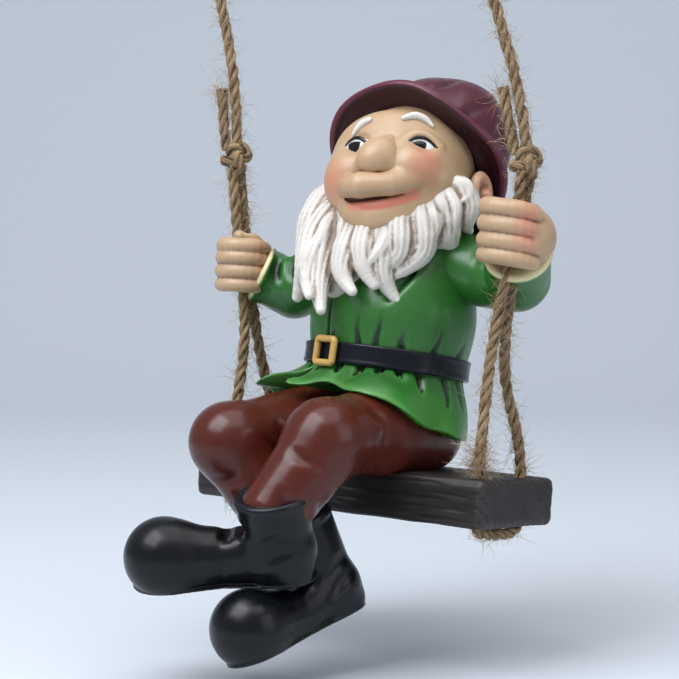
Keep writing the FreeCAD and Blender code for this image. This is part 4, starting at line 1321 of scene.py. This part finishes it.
def sculpt_beard():
    clay = Clay((-56, -82, 66), (64, 42, 176), 0.58)
    rng = np.random.default_rng(33)
    clay.ball((2, -2, 124), 28, 1)
    for angle in np.linspace(-96, 76, 23):
        root = beard_root(angle)
        clay.ball(root + np.array([-0.12 * root[0], 3, -4]), 9.0, 7)
    clay.rod([(0, -12, 117), (-10, -28, 99)], [25, 12], 10)
    clay.rod([(18, -12, 122), (22, -20, 108)], [18, 9], 10)
    clay.rod([(38, -2, 136), (40, -5, 124)], [11, 7], 10)
    tips = [
        ((-24, -39, 104), -60, 8.6), ((-30, -30, 114), -80, 8.0), ((-18, -47, 90), -40, 8.8),
        ((-11, -45, 78), -24, 8.0), ((1, -41, 90), -8, 8.2), ((-14, -50, 85), -31, 6.8),
        ((10, -37, 95), 5, 8.2), ((18, -30, 88), 17, 7.6), ((23, -26, 100), 30, 8.0),
        ((33, -17, 101), 43, 7.8), ((40, -6, 115), 58, 7.6), ((46, 3, 126), 72, 7.2),
        ((-34, -18, 124), -94, 7.2), ((-38, 4, 140), -104, 6.4),
    ]

    def lock(root, tip, thick, shape, lift, wave, curl, ridges, depth, soft):
        root, tip = np.array(root, float), np.array(tip, float)
        t = np.linspace(0, 1, 19)
        bulge = unit((root + tip) / 2 - np.array([2, 4, 122.0]))
        way = unit(tip - root)
        bulge -= way * (bulge @ way)
        bulge = unit(bulge)
        swing = np.cross(way, bulge)
        line = root + (tip - root) * t[:, None] + bulge * (np.sin(t * math.pi) * lift)[:, None]
        line = line + swing * (wave * np.sin(t * math.pi * 1.9 + rng.uniform(0, 2.5)) * t)[:, None]
        line = line + swing * (curl * np.clip(t - 0.62, 0, 1) ** 2 * 40)[:, None]
        radii = thick * np.interp(t, np.linspace(0, 1, len(shape)), shape)
        clay.rod(line, radii, soft, flutes=(bulge, swing, ridges, depth, rng.uniform(0, 6)))

    for tip, angle, thick in tips:
        root = beard_root(angle) + rng.normal(0, 0.8, 3)
        lock(root, tip, thick, (0.62, 0.92, 0.98, 0.78, 0.40), 5.6, rng.uniform(2.0, 3.6),
             rng.choice([-1, -1, 1]) * rng.uniform(1.3, 2.4), 13, 0.75, 2.4)
    for _ in range(64):
        angle = rng.uniform(-102, 77)
        choice = min(tips, key=lambda item: abs(item[1] - angle) + rng.uniform(0, 10))
        root = beard_root(angle) + rng.normal(0, 1.2, 3)
        tip = root + (np.array(choice[0]) - root) * rng.uniform(0.5, 0.92) + rng.normal(0, 2.2, 3)
        middle = (root + tip) / 2 - np.array([2, 4, 122.0])
        away = unit(middle) * rng.uniform(2.8, 4.6)
        lock(root + away * 0.1, tip + away, rng.uniform(2.2, 4.0), (0.3, 0.9, 1.0, 0.8, 0.3), 6.2,
             rng.uniform(1.5, 3.4), rng.choice([-1, 1]) * rng.uniform(0.6, 1.4), 7, 0.5, 1.5)
    clay.ball(SKULL, 37.5, 1.0, True)
    clay.ball((9, -12, 138), 19.5, 1.0, True)
    clay.ball((3, 2, 147), 30.0, 1.0, True)
    return clay.skin("beard", 1.5)


# %% [markdown]
# ## The plank
# A rounded box, with waves that run along it for the grain and a few longer cracks, stained dark.

# %% Carve the plank
PLANK_SIZE = np.array([190.0, 70.0, PLANK_THICKNESS])


def sculpt_plank():
    half = PLANK_SIZE / 2
    clay = Clay(-half - (3, 3, 3 + half[2]), half + (3, 3, 3 - half[2]), 0.62)
    spots = clay.everywhere()[1]
    x, y, z = spots[..., 0], spots[..., 1], spots[..., 2]
    wobble = 1.5 * np.sin(x / 38 + 0.8) + 0.7 * np.sin(x / 19 + y / 19 + 2.0)
    wobble = wobble + 0.35 * np.sin(x / 8.1 + z / 5 + 1.0)
    inner = np.clip((95 - np.abs(x)) / 3, 0.15, 1)
    rings = np.sin((y + 0.9 * z) * 1.15 + wobble)
    rings = rings + 0.75 * inner * np.sin((y * 1.9 - z * 1.5) + wobble * 1.7 + 2.0)
    rings += 0.45 * inner * np.sin((y * 0.43 + z * 3.4) + wobble * 2.3 + 0.6)
    grooves = np.clip(rings - 0.55, 0, 1.4) * 0.85
    worn = 0.7 * np.sin(x / 9.0 + 1.2) * np.sin(y / 11.0 + 0.4) + 0.5 * np.sin(x / 17 + z / 4)
    inset = np.abs(np.stack([x, y, z + half[2]], -1)) - (half - 4.5).astype(np.float32)
    box = np.sqrt((np.maximum(inset, 0) ** 2).sum(-1)) + np.minimum(inset.max(-1), 0) - 4.5
    clay.field = (box + grooves + 0.25 + 0.35 * np.abs(worn)).astype(np.float32)
    rng = np.random.default_rng(2)
    for k in range(26):
        face, start, length = rng.integers(0, 4), rng.uniform(-85, 60), rng.uniform(18, 55)
        a, b = [(rng.uniform(-28, 28), 0.6), (-35.6, rng.uniform(-22, -4)),
                (rng.uniform(-28, 28), -26.6), (35.6, rng.uniform(-22, -4))][face]
        line = [(start + length * t, a + (math.sin(t * 5 + k) if face in (0, 2) else 0),
                 b + (math.sin(t * 5 + k) if face in (1, 3) else 0)) for t in np.linspace(0, 1, 7)]
        clay.rod(line, [0.4, 1.3, 1.6, 1.7, 1.5, 1.2, 0.4], 0.9, True)
    for out in (-HOLE_OUT, HOLE_OUT):
        for back in (-HOLE_BACK, HOLE_BACK):
            clay.rod([(out, back, -40), (out, back, 14)], [4.7, 4.7], 1.4, True)
    return clay.skin("plank", 1.1)


# %% Put the figure together
def add_skin(name, mesh, material):
    return add_piece(name + "_skin", mesh, "seat", material, [name])


add_skin("plank", sculpt_plank(), WOOD)
add_skin("tunic_body", sculpt_tunic_body(), GREEN)
add_skin("tunic_skirt", sculpt_tunic_skirt(), GREEN)
add_skin("belt", sculpt_belt(), BELT_PAINT)
add_skin("buckle", sculpt_buckle(), GOLD)
for side in SIDES:
    add_skin(side + "_trouser_leg", sculpt_trousers(side), BROWN)
    add_skin(side + "_boot", sculpt_boot(side), BLACK)
    add_skin(side + "_sleeve", sculpt_sleeve(side), GREEN)
    add_skin(side + "_hand", sculpt_fist(side), SKIN)
    add_skin(side + "_ear", sculpt_ear(side), SKIN)
    add_skin(side + "_eye", sculpt_eye(side), EYE)
    add_skin(side + "_eyebrow", sculpt_eyebrow(side), WHITE)
add_skin("head", sculpt_head(), SKIN)
add_skin("nose", sculpt_nose(), SKIN)
add_skin("hat", sculpt_hat(), MAROON)
add_skin("beard", sculpt_beard(), WHITE)
